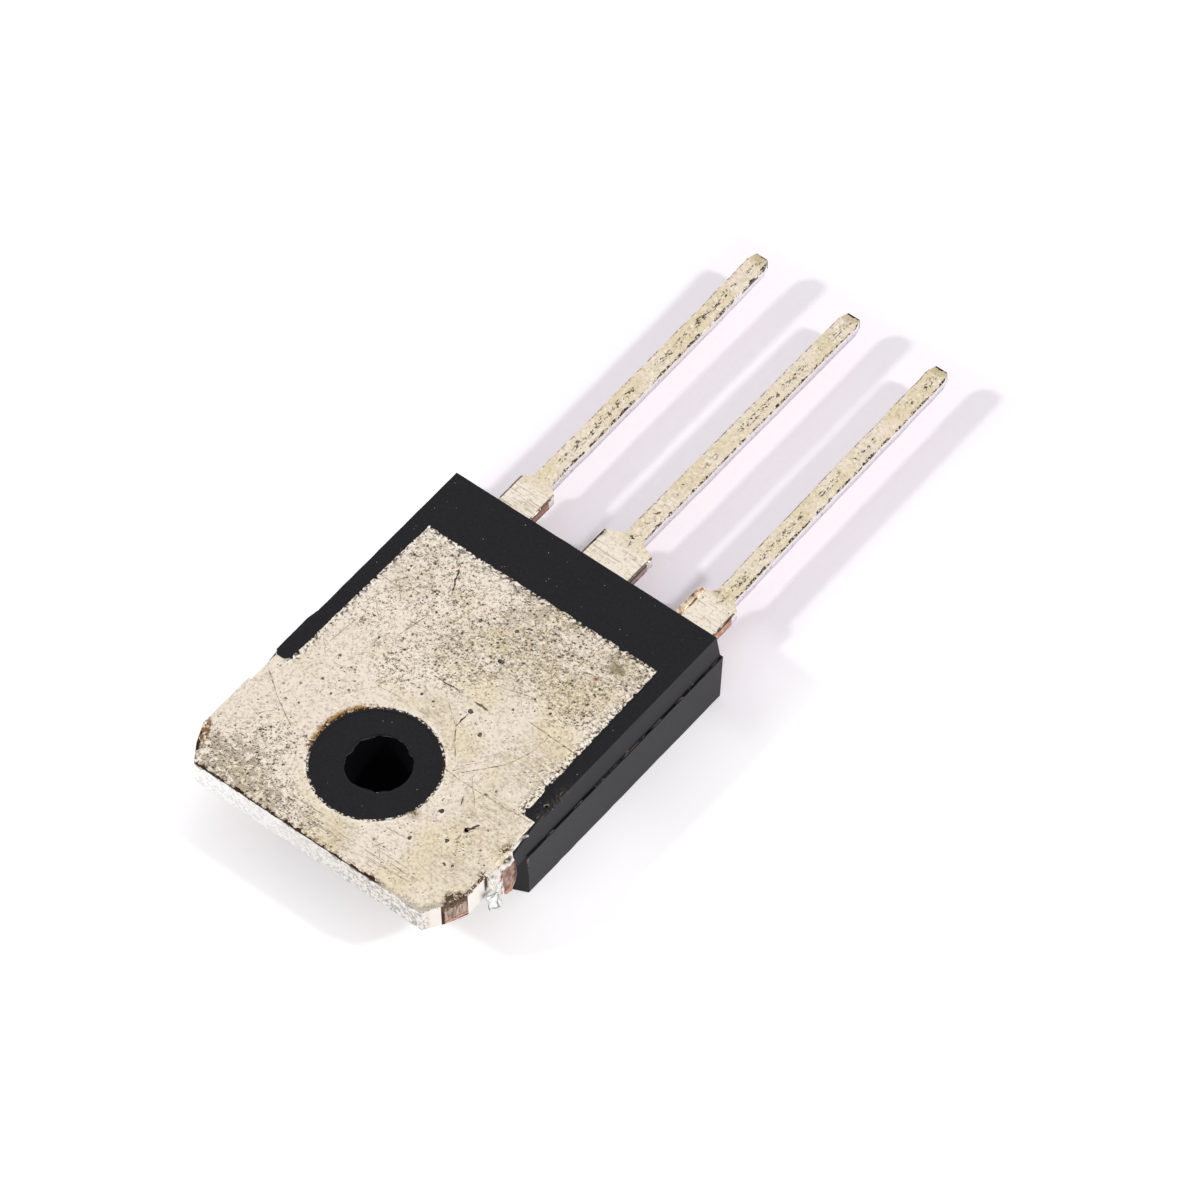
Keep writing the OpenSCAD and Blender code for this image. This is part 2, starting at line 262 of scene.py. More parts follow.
def soft_box(name, share, azimuth, elevation, spread):
    """A far soft box. It gives open card this share of full white."""
    lamp = bpy.data.lights.new(name, "SUN")
    lamp.energy = share * math.pi / math.sin(math.radians(elevation))
    lamp.angle = math.radians(spread)
    turned = bpy.data.objects.new(name, lamp)
    a, e = math.radians(azimuth), math.radians(elevation)
    towards = Vector((math.cos(e) * math.cos(a), math.cos(e) * math.sin(a), math.sin(e)))
    turned.rotation_euler = towards.to_track_quat("Z", "Y").to_euler()
    bpy.context.collection.objects.link(turned)


soft_box("key soft box", KEY_SHARE, 17.0, 43.0, 6.0)
soft_box("fill soft box", FILL_SHARE, 225.0, 40.0, 6.0)

world = bpy.data.worlds.new("white room")
world.use_nodes = True
bpy.context.scene.world = world
room = world.node_tree
room.nodes.clear()
path = add(room, "ShaderNodeLightPath")
lit = add(room, "ShaderNodeBackground", {"Color": colour("#FFFFFF"), "Strength": ROOM_SHARE})
clear = add(room, "ShaderNodeBackground", {"Color": colour("#FFFFFF"), "Strength": 1.0})
seen = add(room, "ShaderNodeMath", (path.outputs["Is Camera Ray"], path.outputs["Is Glossy Ray"]),
           operation="ADD", use_clamp=True)
both = add(room, "ShaderNodeMixShader", (seen, lit, clear))
output = add(room, "ShaderNodeOutputWorld")
room.links.new(both.outputs[0], output.inputs["Surface"])
bpy.context.scene.view_settings.view_transform = "Standard"
print("open card gets", round(KEY_SHARE + FILL_SHARE + ROOM_SHARE, 2), "of full white")

# %% [markdown]
# ## Working from the exact solids
# The moulding and the metal are already exact in the model, so their surfaces are copied
# and merged into closed meshes, and only their edges are broken and their faces scuffed.
# An edge is broken where nothing touches it. The tools measure each edge's distance to the
# other solids, so the seams between metal and epoxy stay shut.

# %% Copy, cut and edge tools
def solid_copy(node):
    """The node's own surface, merged into one closed mesh with each flat face in one piece."""
    bm = bmesh.new()
    bm.from_mesh(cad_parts[node].data)
    bmesh.ops.remove_doubles(bm, verts=bm.verts, dist=1e-7)
    bmesh.ops.dissolve_limit(bm, angle_limit=math.radians(0.5), verts=bm.verts, edges=bm.edges)
    return bm


def touch_tree(*nodes):
    """A search tree of these solids' surfaces."""
    bm = bmesh.new()
    for node in nodes:
        bm.from_mesh(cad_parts[node].data)
    tree = BVHTree.FromBMesh(bm)
    bm.free()
    return tree


def free_edges(bm, others, keep=lambda middle: True):
    """Sharp convex edges that no other solid touches, and that pass the keep test."""
    found = []
    for edge in bm.edges:
        middle = (edge.verts[0].co + edge.verts[1].co) / 2
        sharp = edge.is_convex and edge.calc_face_angle(0.0) > math.radians(18)
        if sharp and others.find_nearest(middle)[3] > 0.03 * MM and keep(middle / MM):
            found.append(edge)
    return found


def break_edges(bm, edges, width_mm, segments=2):
    """Rounds these edges by a bevel of this width."""
    done = bmesh.ops.bevel(bm, geom=edges, offset=width_mm * MM, offset_type="OFFSET", profile=0.5,
                           segments=segments, affect="EDGES", clamp_overlap=True, material=-1)
    return len(done["faces"])


def slice_at(bm, places, axis):
    """Cuts new edges round the mesh where planes across this axis stand, in mm."""
    for place in places:
        bmesh.ops.bisect_plane(bm, geom=bm.verts[:] + bm.edges[:] + bm.faces[:], dist=1e-9,
                               plane_co=Vector(axis) * place * MM, plane_no=axis)


def ridges(point, grain, seed):
    """Craggy noise from -1 to 1 with sharp crests, grain in mm."""
    spot = Vector(point) / grain + Vector((seed, seed * 1.7, -seed))
    return 1.0 - 2.0 * abs(noise.noise(spot)) - 0.5 * abs(noise.noise(spot * 2.7))


print("copy tools ready")

# %% [markdown]
# ## Pieces of the dressed part
# A finished mesh becomes a piece that rides on the part's one body. Where it stands for a
# solid of the model it replaces that solid, and where it is only a trace it is added.

# %% Hand a mesh over as a piece
METAL = ("cathode_frame", "anode_lead_left", "anode_lead_right")
INSIDE = tuple(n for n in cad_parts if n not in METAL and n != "mould_body")


def hand_over(name, bm, finishes, node=None):
    """Makes the mesh a piece of the part, riding on its one body."""
    mesh = bpy.data.meshes.new(name)
    bm.to_mesh(mesh)
    bm.free()
    for finish in finishes:
        mesh.materials.append(finish)
    piece = bpy.data.objects.new(name, mesh)
    bpy.context.collection.objects.link(piece)
    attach(piece, "root")
    if node:
        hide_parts(node)
    print(f"{name}: {len(mesh.polygons)} faces")
    return piece


print("inside the moulding:", len(INSIDE), "nodes")

# %% [markdown]
# ## Patterns that several finishes share
# Wear has a few plain shapes: spots, single strokes, a soft patch round a point. Each is a
# mask from 0 to 1 in real millimetres, and the finishes below mix colours through them.
# The positions are the metal's own, seen from above, so a mark stays where the tool hit.

# %% Masks
def spots(tree, place, spacing, radius, share, wobble=0.9, seed=0.0):
    """Irregular spots: spacing and radius in mm, and the share of cells that has one."""
    bend = add(tree, "ShaderNodeTexNoise", (place, 1.6 / radius, 1.0, 0.6))
    bent = add(tree, "ShaderNodeVectorMath", (bend.outputs["Color"], (wobble * radius * 2,) * 3, place),
               operation="MULTIPLY_ADD")
    moved = add(tree, "ShaderNodeVectorMath", (bent, (seed, seed * 1.7, seed * 0.3)), operation="ADD")
    cells = add(tree, "ShaderNodeTexVoronoi", {"Vector": moved, "Scale": 1 / spacing})
    chance = add(tree, "ShaderNodeSeparateColor", (cells.outputs["Color"],))
    chosen = add(tree, "ShaderNodeMath", (chance.outputs[0], share), operation="LESS_THAN")
    reach = add(tree, "ShaderNodeMath", (chance.outputs[1], radius / spacing, 0.35 * radius / spacing),
                operation="MULTIPLY_ADD")
    near = add(tree, "ShaderNodeMapRange", (cells.outputs["Distance"], reach, 0.0, 0.0, 1.6))
    return add(tree, "ShaderNodeMath", (near, chosen), operation="MULTIPLY", use_clamp=True)


def near_point(tree, place, x, y, reach):
    """A soft round mask, seen from above: 1 at the point and 0 from reach mm on."""
    flat = add(tree, "ShaderNodeVectorMath", (place, (1, 1, 0)), operation="MULTIPLY")
    away = add(tree, "ShaderNodeVectorMath", (flat, (x, y, 0)), operation="DISTANCE").outputs["Value"]
    return add(tree, "ShaderNodeMapRange", (away, reach, 0.0), interpolation_type="SMOOTHSTEP")


def either(tree, *masks):
    """The strongest of several masks."""
    total = masks[0]
    for mask in masks[1:]:
        total = add(tree, "ShaderNodeMath", (total, mask), operation="MAXIMUM")
    return total


def mask(tree, *parts):
    """Where all the parts agree. A part is a mask, a number, or (value, start, end) for a value
    eased from 0 to 1 between start and end. (value, start, end, low, high) gives it other ends."""
    whole = None
    for part in parts:
        if isinstance(part, tuple):
            part = add(tree, "ShaderNodeMapRange", part, interpolation_type="SMOOTHSTEP")
        if whole is None:
            whole = part
        else:
            whole = add(tree, "ShaderNodeMath", (whole, part), operation="MULTIPLY", use_clamp=True)
    return whole


def lay(tree, tone, code, *parts):
    """Lays one more colour over a tone, or over a first colour, where all the parts agree."""
    below = colour(tone) if isinstance(tone, str) else tone
    return add(tree, "ShaderNodeMix", (mask(tree, *parts), below, colour(code)), data_type="RGBA")


def frayed(tree, distance, part):
    """A distance in mm that wanders by an eased part, so that the line it draws is ragged."""
    return add(tree, "ShaderNodeMath", (distance, mask(tree, part)), operation="ADD")


def upright_faces(tree):
    """A mask of the faces that stand up, as punched sides do."""
    turned = add(tree, "ShaderNodeSeparateXYZ", (add(tree, "ShaderNodeTexCoord").outputs["Normal"],))
    level = add(tree, "ShaderNodeMath", (turned.outputs["Z"],), operation="ABSOLUTE")
    return mask(tree, (level, 0.75, 0.35))


print("masks: spots, near_point, either, mask, frayed, upright_faces; colours: lay")

# %% [markdown]
# ## Epoxy moulding
# Power parts are transfer-moulded in a black epoxy that is mostly ground silica. It leaves
# the polished mould satin, nearly black, with silica grains that catch the light as rare
# pale specks. Where the two mould halves met, dirt and broken flash draw a dark, broken
# line. The core pin leaves the bore matt, and a shadowed matt bore reads as pure black.

# %% Epoxy finishes
def epoxy_finish():
    """Nearly black and satin, so that its form shows in soft grey reflections only."""
    made, tree, place = start_material("black epoxy compound, satin from the mould")
    at = add(tree, "ShaderNodeSeparateXYZ", (place,))
    grain = add(tree, "ShaderNodeTexNoise", (place, 7.0, 4.0, 0.65))
    cloud = add(tree, "ShaderNodeTexNoise", (place, 0.5, 3.0, 0.5))
    tone = lay(tree, "#0B0A0F", "#100F14", cloud)
    tone = lay(tree, tone, "#1B1A1E", (grain, 0.45, 0.7), 0.7)
    scuffed = mask(tree, (at.outputs["Y"], 4.6, 3.6), (at.outputs["Y"], 1.7, 2.3),
                   (at.outputs["X"], 7.25, 7.6), (at.outputs["Z"], BACK_Z - 0.4, BACK_Z - 0.1))
    tone = lay(tree, tone, "#3D3A34", scuffed, (grain, 0.42, 0.6), 0.8)
    tone = lay(tree, tone, "#A39A86", scuffed, spots(tree, place, 0.13, 0.035, 0.4, seed=8.0), 0.8)
    corner = near_point(tree, place, 7.93, 0.93, 0.12)
    tone = lay(tree, tone, "#9A9282", corner, (grain, 0.45, 0.55))
    off = add(tree, "ShaderNodeMath", (at.outputs["Z"], PARTING_Z + 0.01), operation="SUBTRACT")
    off = add(tree, "ShaderNodeMath", (off,), operation="ABSOLUTE")
    broken = add(tree, "ShaderNodeTexNoise", (place, 2.6, 5.0, 0.7))
    gap = add(tree, "ShaderNodeMath", (off, mask(tree, (broken, 0.4, 0.62, 0.0, 0.09))),
              operation="LESS_THAN")
    crumbs = mask(tree, add(tree, "ShaderNodeMath", (off, 0.13), operation="LESS_THAN"),
                  spots(tree, place, 0.3, 0.08, 0.3, seed=6.0))
    tone = lay(tree, lay(tree, tone, "#A89C7C", crumbs), "#030303", gap)
    height = add(tree, "ShaderNodeTexNoise", (place, 14.0, 3.0, 0.6))
    rough = add(tree, "ShaderNodeMapRange", (grain, 0.3, 0.7, 0.32, 0.42))
    level = add(tree, "ShaderNodeMapRange", (at.outputs["Z"], PARTING_Z - 0.05, PARTING_Z, 0.145, 0.19))
    finish_material(tree, tone, rough, height, 0.008, **{"Specular IOR Level": level})
    return made


def bore_finish():
    """The same compound without its gloss: the bore reads as a plain black hole."""
    made, tree, place = start_material("black epoxy compound, matt in the bore")
    grain = add(tree, "ShaderNodeTexNoise", (place, 9.0, 3.0, 0.6))
    tone = lay(tree, "#0B0B0F", "#141318", grain)
    finish_material(tree, tone, 0.9, grain, 0.01, **{"Specular IOR Level": 0.03})
    return made


def flash_finish():
    """Thin epoxy, greyed on its crest, which draws a pale broken line."""
    made, tree, place = start_material("epoxy flash, rubbed pale on its crest")
    grain = add(tree, "ShaderNodeTexNoise", (place, 3.0, 4.0, 0.7))
    tone = lay(tree, "#1D1C1F", "#77706A", (grain, 0.42, 0.6))
    finish_material(tree, tone, 0.7, grain, 0.01, **{"Specular IOR Level": 0.2})
    return made


epoxy = epoxy_finish()
bore = bore_finish()
pale_flash = flash_finish()
print("epoxy finishes:", epoxy.name, "|", bore.name, "|", pale_flash.name)

# %% [markdown]
# ## The moulding's block
# The solid already has the drafted walls and the rails. The mould and the tumbling drum
# add the rest: edges rounded by a few hundredths that wander a little, and one chipped
# corner. Edges that close on metal stay sharp. The walls are cut across first, because only
# points can be moved.

# %% Moulding
MOULD_EDGE = 0.03                       # mm, what tumbling leaves on the edges
BORE_EDGE = 0.05
FRAY = 0.016                            # mm, how far a moulded edge wanders

bm = solid_copy("mould_body")
others = touch_tree(*METAL, *INSIDE)
in_bore = lambda p: math.hypot(p.x, p.y) < HOLE_R + 0.01
count = break_edges(bm, free_edges(bm, others, lambda p: not in_bore(p)), MOULD_EDGE)
count += break_edges(bm, free_edges(bm, others, in_bore), BORE_EDGE)
slice_at(bm, [2.1 + 0.25 * i for i in range(9)] + [4.6 + 0.53 * i for i in range(20)], (0, 1, 0))
slice_at(bm, [-7.2 + 0.6 * i for i in range(25)], (1, 0, 0))
slice_at(bm, (0.15, 2.85, 3.2, 4.38), (0, 0, 1))

bm.normal_update()
edge_verts = {v for e in bm.edges if e.calc_face_angle(0.0) > math.radians(12) for v in e.verts}
for vert in edge_verts:
    spot = vert.co / MM
    if others.find_nearest(vert.co)[3] < 0.1 * MM or in_bore(spot):
        continue
    vert.co += vert.normal * FRAY * MM * noise.noise(spot / 0.5)
    chip = max(0.0, 1 - (spot - Vector((7.72, 2.95, BACK_Z))).length / 0.85)
    vert.co -= vert.normal * MM * chip * (0.1 + 0.12 * noise.noise(spot / 0.2))
    vert.co.z = max(0.0, vert.co.z)
for face in bm.faces:
    middle = face.calc_center_median() / MM
    wall = abs(face.normal.z) < 0.3 and math.hypot(middle.x, middle.y) < HOLE_R + 0.02
    face.material_index = 1 if wall else 0
hand_over("moulding", bm, (epoxy, bore), "mould_body")
print(count, "edge faces,", len(edge_verts), "points on edges")

# %% [markdown]
# ## Flash
# Liquid epoxy creeps out of the mould's joints in films a few hundredths thick. It leaves a
# ragged outline on the header round the pad, round the ring that lines the header's hole,
# and inside the screw hole, where the film's broken lip stands as a thin pale line. Each
# film is a grid bent along its seam, with one edge moved in and out by noise.

# %% Bent strips
def ragged(seed, size, grain, bite=0.0):
    """A wandering offset along a strip: size in mm, grain in mm per wave, with sharper bites on top."""
    def offset(point):
        slow = noise.noise(Vector((point.x, point.y, seed + point.z)) / grain)
        fast = noise.noise(Vector((point.x, point.y, seed + 9)) / (grain * 0.35))
        return size * (slow + 0.7 * fast) + bite * max(0.0, fast - 0.2)
    return offset


def bent_strip(path, near, far, steps, rows=1):
    """A grid bent along a path. path(u) gives a point and its sideways direction, and near
    and far give the two long edges' distances from it, all in mm."""
    bm = bmesh.new()
    bmesh.ops.create_grid(bm, x_segments=steps, y_segments=rows, size=0.5)
    for vert in bm.verts:
        u, v = vert.co.x + 0.5, vert.co.y + 0.5
        point, side = path(u)
        vert.co = (point + side * (near(point) * (1 - v) + far(point) * v)) * MM
    bmesh.ops.remove_doubles(bm, verts=bm.verts, dist=1e-8)
    return bm


def thicken(bm, thickness_mm):
    """Gives a strip a closed thickness."""
    bmesh.ops.recalc_face_normals(bm, faces=bm.faces)
    bmesh.ops.solidify(bm, geom=bm.faces[:], thickness=thickness_mm * MM)
    bmesh.ops.recalc_face_normals(bm, faces=bm.faces)
    return bm


def round_path(x, y, r, z):
    """A full circle, seen from above, with its sideways direction pointing outwards."""
    def path(u):
        out = Vector((math.cos(math.tau * u), math.sin(math.tau * u), 0))
        return Vector((x, y, z)) + out * r, out
    return path


def line_path(start, end, side):
    """A straight run from start to end."""
    start, end, side = Vector(start), Vector(end), Vector(side).normalized()
    return lambda u: (start.lerp(end, u), side)


print("strip tools ready")

# %% [markdown]
# ## Films of flash
# Flash is epoxy that crept between steel and tin before it set. It is a few hundredths
# thick and ends in a ragged line. Moving the points of the moulding itself would need a
# very fine mesh everywhere, so a narrow strip follows each edge instead: one border is
# buried in the moulding and the other is moved by noise.

# %% Films of flash
FILM_T = 0.012                          # mm
PAD_HALF_NOTCH = 7.0
PAD_HALF_END = 6.775
NOTCH_Y = 1.84
film_z = BACK_Z + FILM_T

ring_rag = ragged(2.0, 0.045, 0.5, 0.16)
ring_film = bent_strip(round_path(RING_X, RING_Y, RING_R, film_z), lambda p: -0.12,
                       lambda p: 0.01 + ring_rag(p), 360)
hand_over("ring_flash", thicken(ring_film, FILM_T), (epoxy,))

hole_rag = ragged(5.0, 0.17, 1.1, 0.1)
hole_film = bent_strip(round_path(0, 0, HOLE_R, BACK_Z - 0.03),
                       lambda p: -0.06 + max(-0.17, min(0.035, hole_rag(p))), lambda p: 0.05, 300)
thicken(hole_film, 0.05)
for face in hole_film.faces:
    face.material_index = 0 if abs(face.normal.z) > 0.5 else 1
hand_over("hole_flash", hole_film, (epoxy, pale_flash))

rail_rag = ragged(8.0, 0.06, 0.4, 0.22)
for name, start, end, side, creep in (
    ("right_rail_flash", (PAD_HALF_NOTCH, NOTCH_Y), (PAD_HALF_END, PAD_Y), (-1, 0, 0), 0.02),
    ("left_rail_flash", (-PAD_HALF_NOTCH, NOTCH_Y), (-PAD_HALF_END, PAD_Y), (1, 0, 0), 0.02),
    ("end_rail_flash", (PAD_HALF_END, PAD_Y), (-PAD_HALF_END, PAD_Y), (0, -1, 0), 0.09),
):
    film = bent_strip(line_path((*start, film_z), (*end, film_z), side), lambda p: -0.08,
                      lambda p: max(-0.05, creep + rail_rag(p)), 300)
    hand_over(name, thicken(film, FILM_T), (epoxy,))

side_rag = ragged(4.0, 0.03, 0.6, 0.05)
for name, sign in (("right_parting_flash", 1), ("left_parting_flash", -1)):
    run = line_path((sign * 7.9, 1.1, PARTING_Z), (sign * 7.86, 14.9, PARTING_Z), (sign, 0, 0))
    film = bent_strip(run, lambda p: -0.15, lambda p: 0.005 + max(-0.03, side_rag(p)), 240)
    hand_over(name, thicken(film, 0.02), (pale_flash,))

# %% [markdown]
# ## Plated copper
# The header and leads are punched from copper strip, plated, and dipped. The plating is
# satin and creamy, and decades of handling have pitted it, scratched it and let an olive
# tarnish in. The punched sides were never touched, so they stay bright. The marks are
# short lists in millimetres, as an inspector would note them.

# %% Marks on the header's back
PITS = (                                # x, y and reach in mm
    (-1.42, 9.07, 0.2), (0.27, 9.63, 0.18), (0.72, 7.82, 0.2), (-0.85, 7.37, 0.13), (-5.95, 9.53, 0.11),
    (1.45, 4.83, 0.2), (2.62, 4.07, 0.17), (-4.53, 5.48, 0.11), (3.92, -0.27, 0.2), (3.72, -2.3, 0.17),
    (5.17, -1.4, 0.17), (6.23, -2.3, 0.11), (5.85, -2.45, 0.1), (-0.92, 4.2, 0.12), (4.93, 1.67, 0.12),
    (-5.15, 10.3, 0.14), (-1.0, 9.55, 0.11), (-3.4, 6.55, 0.11), (1.77, 10.6, 0.11), (0.75, 10.1, 0.11),
)
STROKES = (                             # x and y of both ends, and half width, in mm
    (-4.08, 10.73, -3.5, 9.57, 0.045), (-1.17, 5.35, 0.33, 5.4, 0.03), (1.25, 5.35, 2.08, 5.35, 0.055),
    (1.45, 4.7, 1.45, 3.7, 0.035), (5.42, -0.52, 5.8, 0.2, 0.07), (5.35, -0.35, 5.6, -0.48, 0.05),
    (4.2, 1.0, 4.4, 0.5, 0.04),
)
HAIRLINES = (                           # the same, for lines that only just show
    (2.5, 1.6, 4.5, 1.57, 0.022), (4.5, 1.57, 7.5, 1.7, 0.022), (0.42, 4.53, 1.5, 3.73, 0.022),
    (1.5, 3.73, 2.17, 2.57, 0.022), (5.17, 5.9, 5.08, 4.73, 0.022), (5.08, 4.73, 4.67, 3.57, 0.022),
    (4.67, 3.57, 3.83, 2.57, 0.022), (3.83, 2.57, 3.28, 1.9, 0.022), (3.83, 6.02, 6.75, 5.9, 0.025),
    (-3.55, 7.73, -3.92, 6.07, 0.03), (-6.0, 5.73, -6.17, 3.9, 0.025), (-7.5, 1.07, -5.83, -0.1, 0.025),
    (-5.83, -0.1, -4.5, -0.85, 0.025), (-6.55, 8.25, -5.6, 8.27, 0.03), (-5.6, 8.27, -5.1, 7.75, 0.022),
    (-2.1, 7.55, -1.1, 7.42, 0.028), (1.45, 3.7, 2.67, 2.23, 0.022), (-3.5, 9.57, -3.2, 9.1, 0.03),
    (-4.3, 6.0, -4.6, 4.9, 0.022), (2.2, 6.9, 3.3, 7.2, 0.022), (4.3, 8.4, 5.2, 7.3, 0.022),
)
WORN = (                                # x, y, reach in mm and strength: where small pits crowd
    (-5.2, -4.3, 2.8, 1.8), (-4.7, -2.2, 1.8, 1.3), (-6.6, -3.8, 1.4, 1.7), (-3.1, -4.5, 2.0, 1.7),
    (-0.8, -4.8, 1.4, 1.2), (-3.9, -1.2, 1.0, 0.9), (0.0, 10.6, 1.6, 1.5), (4.9, 11.0, 1.3, 1.5),
    (-2.6, 5.2, 2.4, 0.9), (-0.9, 7.6, 3.4, 1.15), (3.2, 9.6, 3.6, 1.2), (5.2, 8.2, 2.4, 1.0),
    (-4.2, 9.6, 3.2, 1.0), (-5.9, 6.6, 1.8, 0.8), (0.8, 10.8, 3.4, 1.3), (5.6, 11.0, 2.2, 1.2),
    (-5.5, 11.3, 2.4, 1.2), (6.6, 4.0, 1.3, 0.7), (5.6, -1.2, 1.2, 0.6), (-6.2, 11.9, 0.8, 1.6),
    (-4.4, 11.9, 0.8, 1.5), (-2.6, 11.9, 0.9, 1.6), (-1.1, 11.9, 1.0, 1.9), (0.5, 11.9, 1.0, 1.9),
    (2.1, 11.9, 1.0, 1.9), (3.8, 11.9, 0.8, 1.6), (5.6, 11.9, 0.8, 1.6),
)
OLIVE = (                               # the same, for tarnish
    (5.4, 10.9, 1.6, 1.0), (0.4, 9.4, 2.0, 1.0), (5.3, 4.2, 2.0, 0.9), (-5.2, 8.9, 1.5, 0.7),
    (5.9, 0.4, 2.0, 0.8), (6.2, -2.2, 1.5, 0.8), (2.4, 8.4, 2.4, 1.0), (0.2, 3.9, 1.2, 0.8),
    (4.6, 9.0, 2.4, 1.0), (1.0, -4.4, 1.4, 0.6), (-1.6, 7.2, 1.6, 0.7),
)
BROWN = (                               # the same, for browned corners
    (7.6, -3.78, 0.62, 1.0), (7.85, -2.0, 0.4, 1.0), (7.9, -0.2, 0.5, 1.0), (7.95, 0.7, 0.35, 1.0),
    (-7.85, -3.6, 0.85, 1.0),
)
MARKED = {"worn": WORN, "olive": OLIVE, "brown": BROWN}
print(len(PITS), "pits,", len(STROKES), "strokes,", len(HAIRLINES), "hairlines")
print(len(WORN), "worn patches,", len(OLIVE), "tarnished,", len(BROWN), "browned")


def patch_strength(patches, x, y):
    """How strongly the strongest of these patches acts at a point, at most its peak."""
    return max(peak * min(1.0, max(0.0, 1.9 - 1.9 * math.hypot(x - px, y - py) / reach))
               for px, py, reach, peak in patches)


# %% [markdown]
# ## Worn tin
# Tin starts out even, so a single colour with one noise would do for a new part. Here the
# wear is layered as it came: thin yellow tin, tarnish, a worn grain, then pits. The places
# come from attributes stored on the header's points, because one soft patch per node would
# make the recipe too long for the renderer.

# %% Tin patterns and worn tin
def tin_patterns(tree, place):
    """What all layers of the plating share: coordinates, and noises of four grain sizes."""
    tin = SimpleNamespace(place=place, at=add(tree, "ShaderNodeSeparateXYZ", (place,)))
    tin.cloud = add(tree, "ShaderNodeTexNoise", (place, 0.38, 3.0, 0.55))
    tin.mottle = add(tree, "ShaderNodeTexNoise", (place, 2.0, 4.0, 0.65))
    tin.fleck = add(tree, "ShaderNodeTexNoise", (place, 7.5, 2.0, 0.75))
    rubbed = add(tree, "ShaderNodeMapping", {"Vector": place, "Rotation": (0, 0, 0.5),
                                             "Scale": (1.2, 5.0, 1.0)})
    tin.streak = add(tree, "ShaderNodeTexNoise", (rubbed, 1.6, 3.0, 0.7))
    return tin


def worn_tin(tree, tin):
    """Creamy tin with tarnish, grain and pits. Gives its tone and the mask of the pits."""
    # yellower where the tin is thin, with olive tarnish rubbed into streaks
    yellow = add(tree, "ShaderNodeMath", (tin.at.outputs["X"], 0.012, tin.cloud),
                 operation="MULTIPLY_ADD")
    tone = lay(tree, "#EADECF", "#E4D6BB", (yellow, 0.42, 0.68))
    olive = add(tree, "ShaderNodeAttribute", attribute_name="olive").outputs["Fac"]
    tone = lay(tree, tone, "#BFAE8C", olive, (tin.streak, 0.38, 0.62), 0.75)
    tone = lay(tree, tone, "#C6B8A3", (tin.mottle, 0.5, 0.72), 0.4)

    # the grain of the worn surface: pale crests and dark hollows 0.1 to 0.2 mm apart
    worn = add(tree, "ShaderNodeAttribute", attribute_name="worn").outputs["Fac"]
    worn = add(tree, "ShaderNodeMath", (worn, mask(tree, (tin.mottle, 0.36, 0.56, 0.4, 1.0))),
               operation="MULTIPLY")
    depth = mask(tree, (worn, 0.0, 1.0, 0.4, 1.0))
    tone = lay(tree, tone, "#7D6F5F", (tin.fleck, 0.5, 0.36), depth)
    tone = lay(tree, tone, "#F8F1E6", (tin.fleck, 0.55, 0.67), depth, 0.8)
    film = mask(tree, (worn, 0.8, 1.5), (tin.mottle, 0.34, 0.5))
    tone = lay(tree, tone, "#A39580", film, 0.32)
    tone = lay(tree, tone, "#94866F", (worn, 1.3, 1.75), 0.45)

    # pits of 0.1 and 0.17 mm that crowd where it is worn, rare larger ones, and a painted
    # highlight, a pale crescent on one side of each small one
    share = mask(tree, (worn, 0.0, 1.5, 0.1, 1.0))
    highlight_place = add(tree, "ShaderNodeVectorMath", (tin.place, (-0.045, 0.045, 0.0)), operation="ADD")
    tone = lay(tree, tone, "#FAF4EA", spots(tree, highlight_place, 0.14, 0.052, share, seed=1.0), 0.7)
    fine = spots(tree, tin.place, 0.14, 0.048, share, seed=1.0)
    middle = spots(tree, tin.place, 0.21, 0.085, mask(tree, (worn, 0.3, 1.5, 0.05, 0.85)), seed=5.0)
    large = spots(tree, tin.place, 1.1, 0.08, 0.16, 0.6, seed=7.0)
    pitted = either(tree, fine, middle, large)
    return lay(tree, tone, "#3A3027", pitted, 0.97), pitted


print("worn tin ready")

# %% [markdown]
# ## Where the tin meets the moulding
# Deflashing leaves the tin bright in a narrow ring round the lined hole, and stains it where
# moisture crept in. Along the pad's edges it is nibbled into pale nubs and dark gaps. All
# this could be painted on a texture. Masks by distance do it without one and stay sharp.

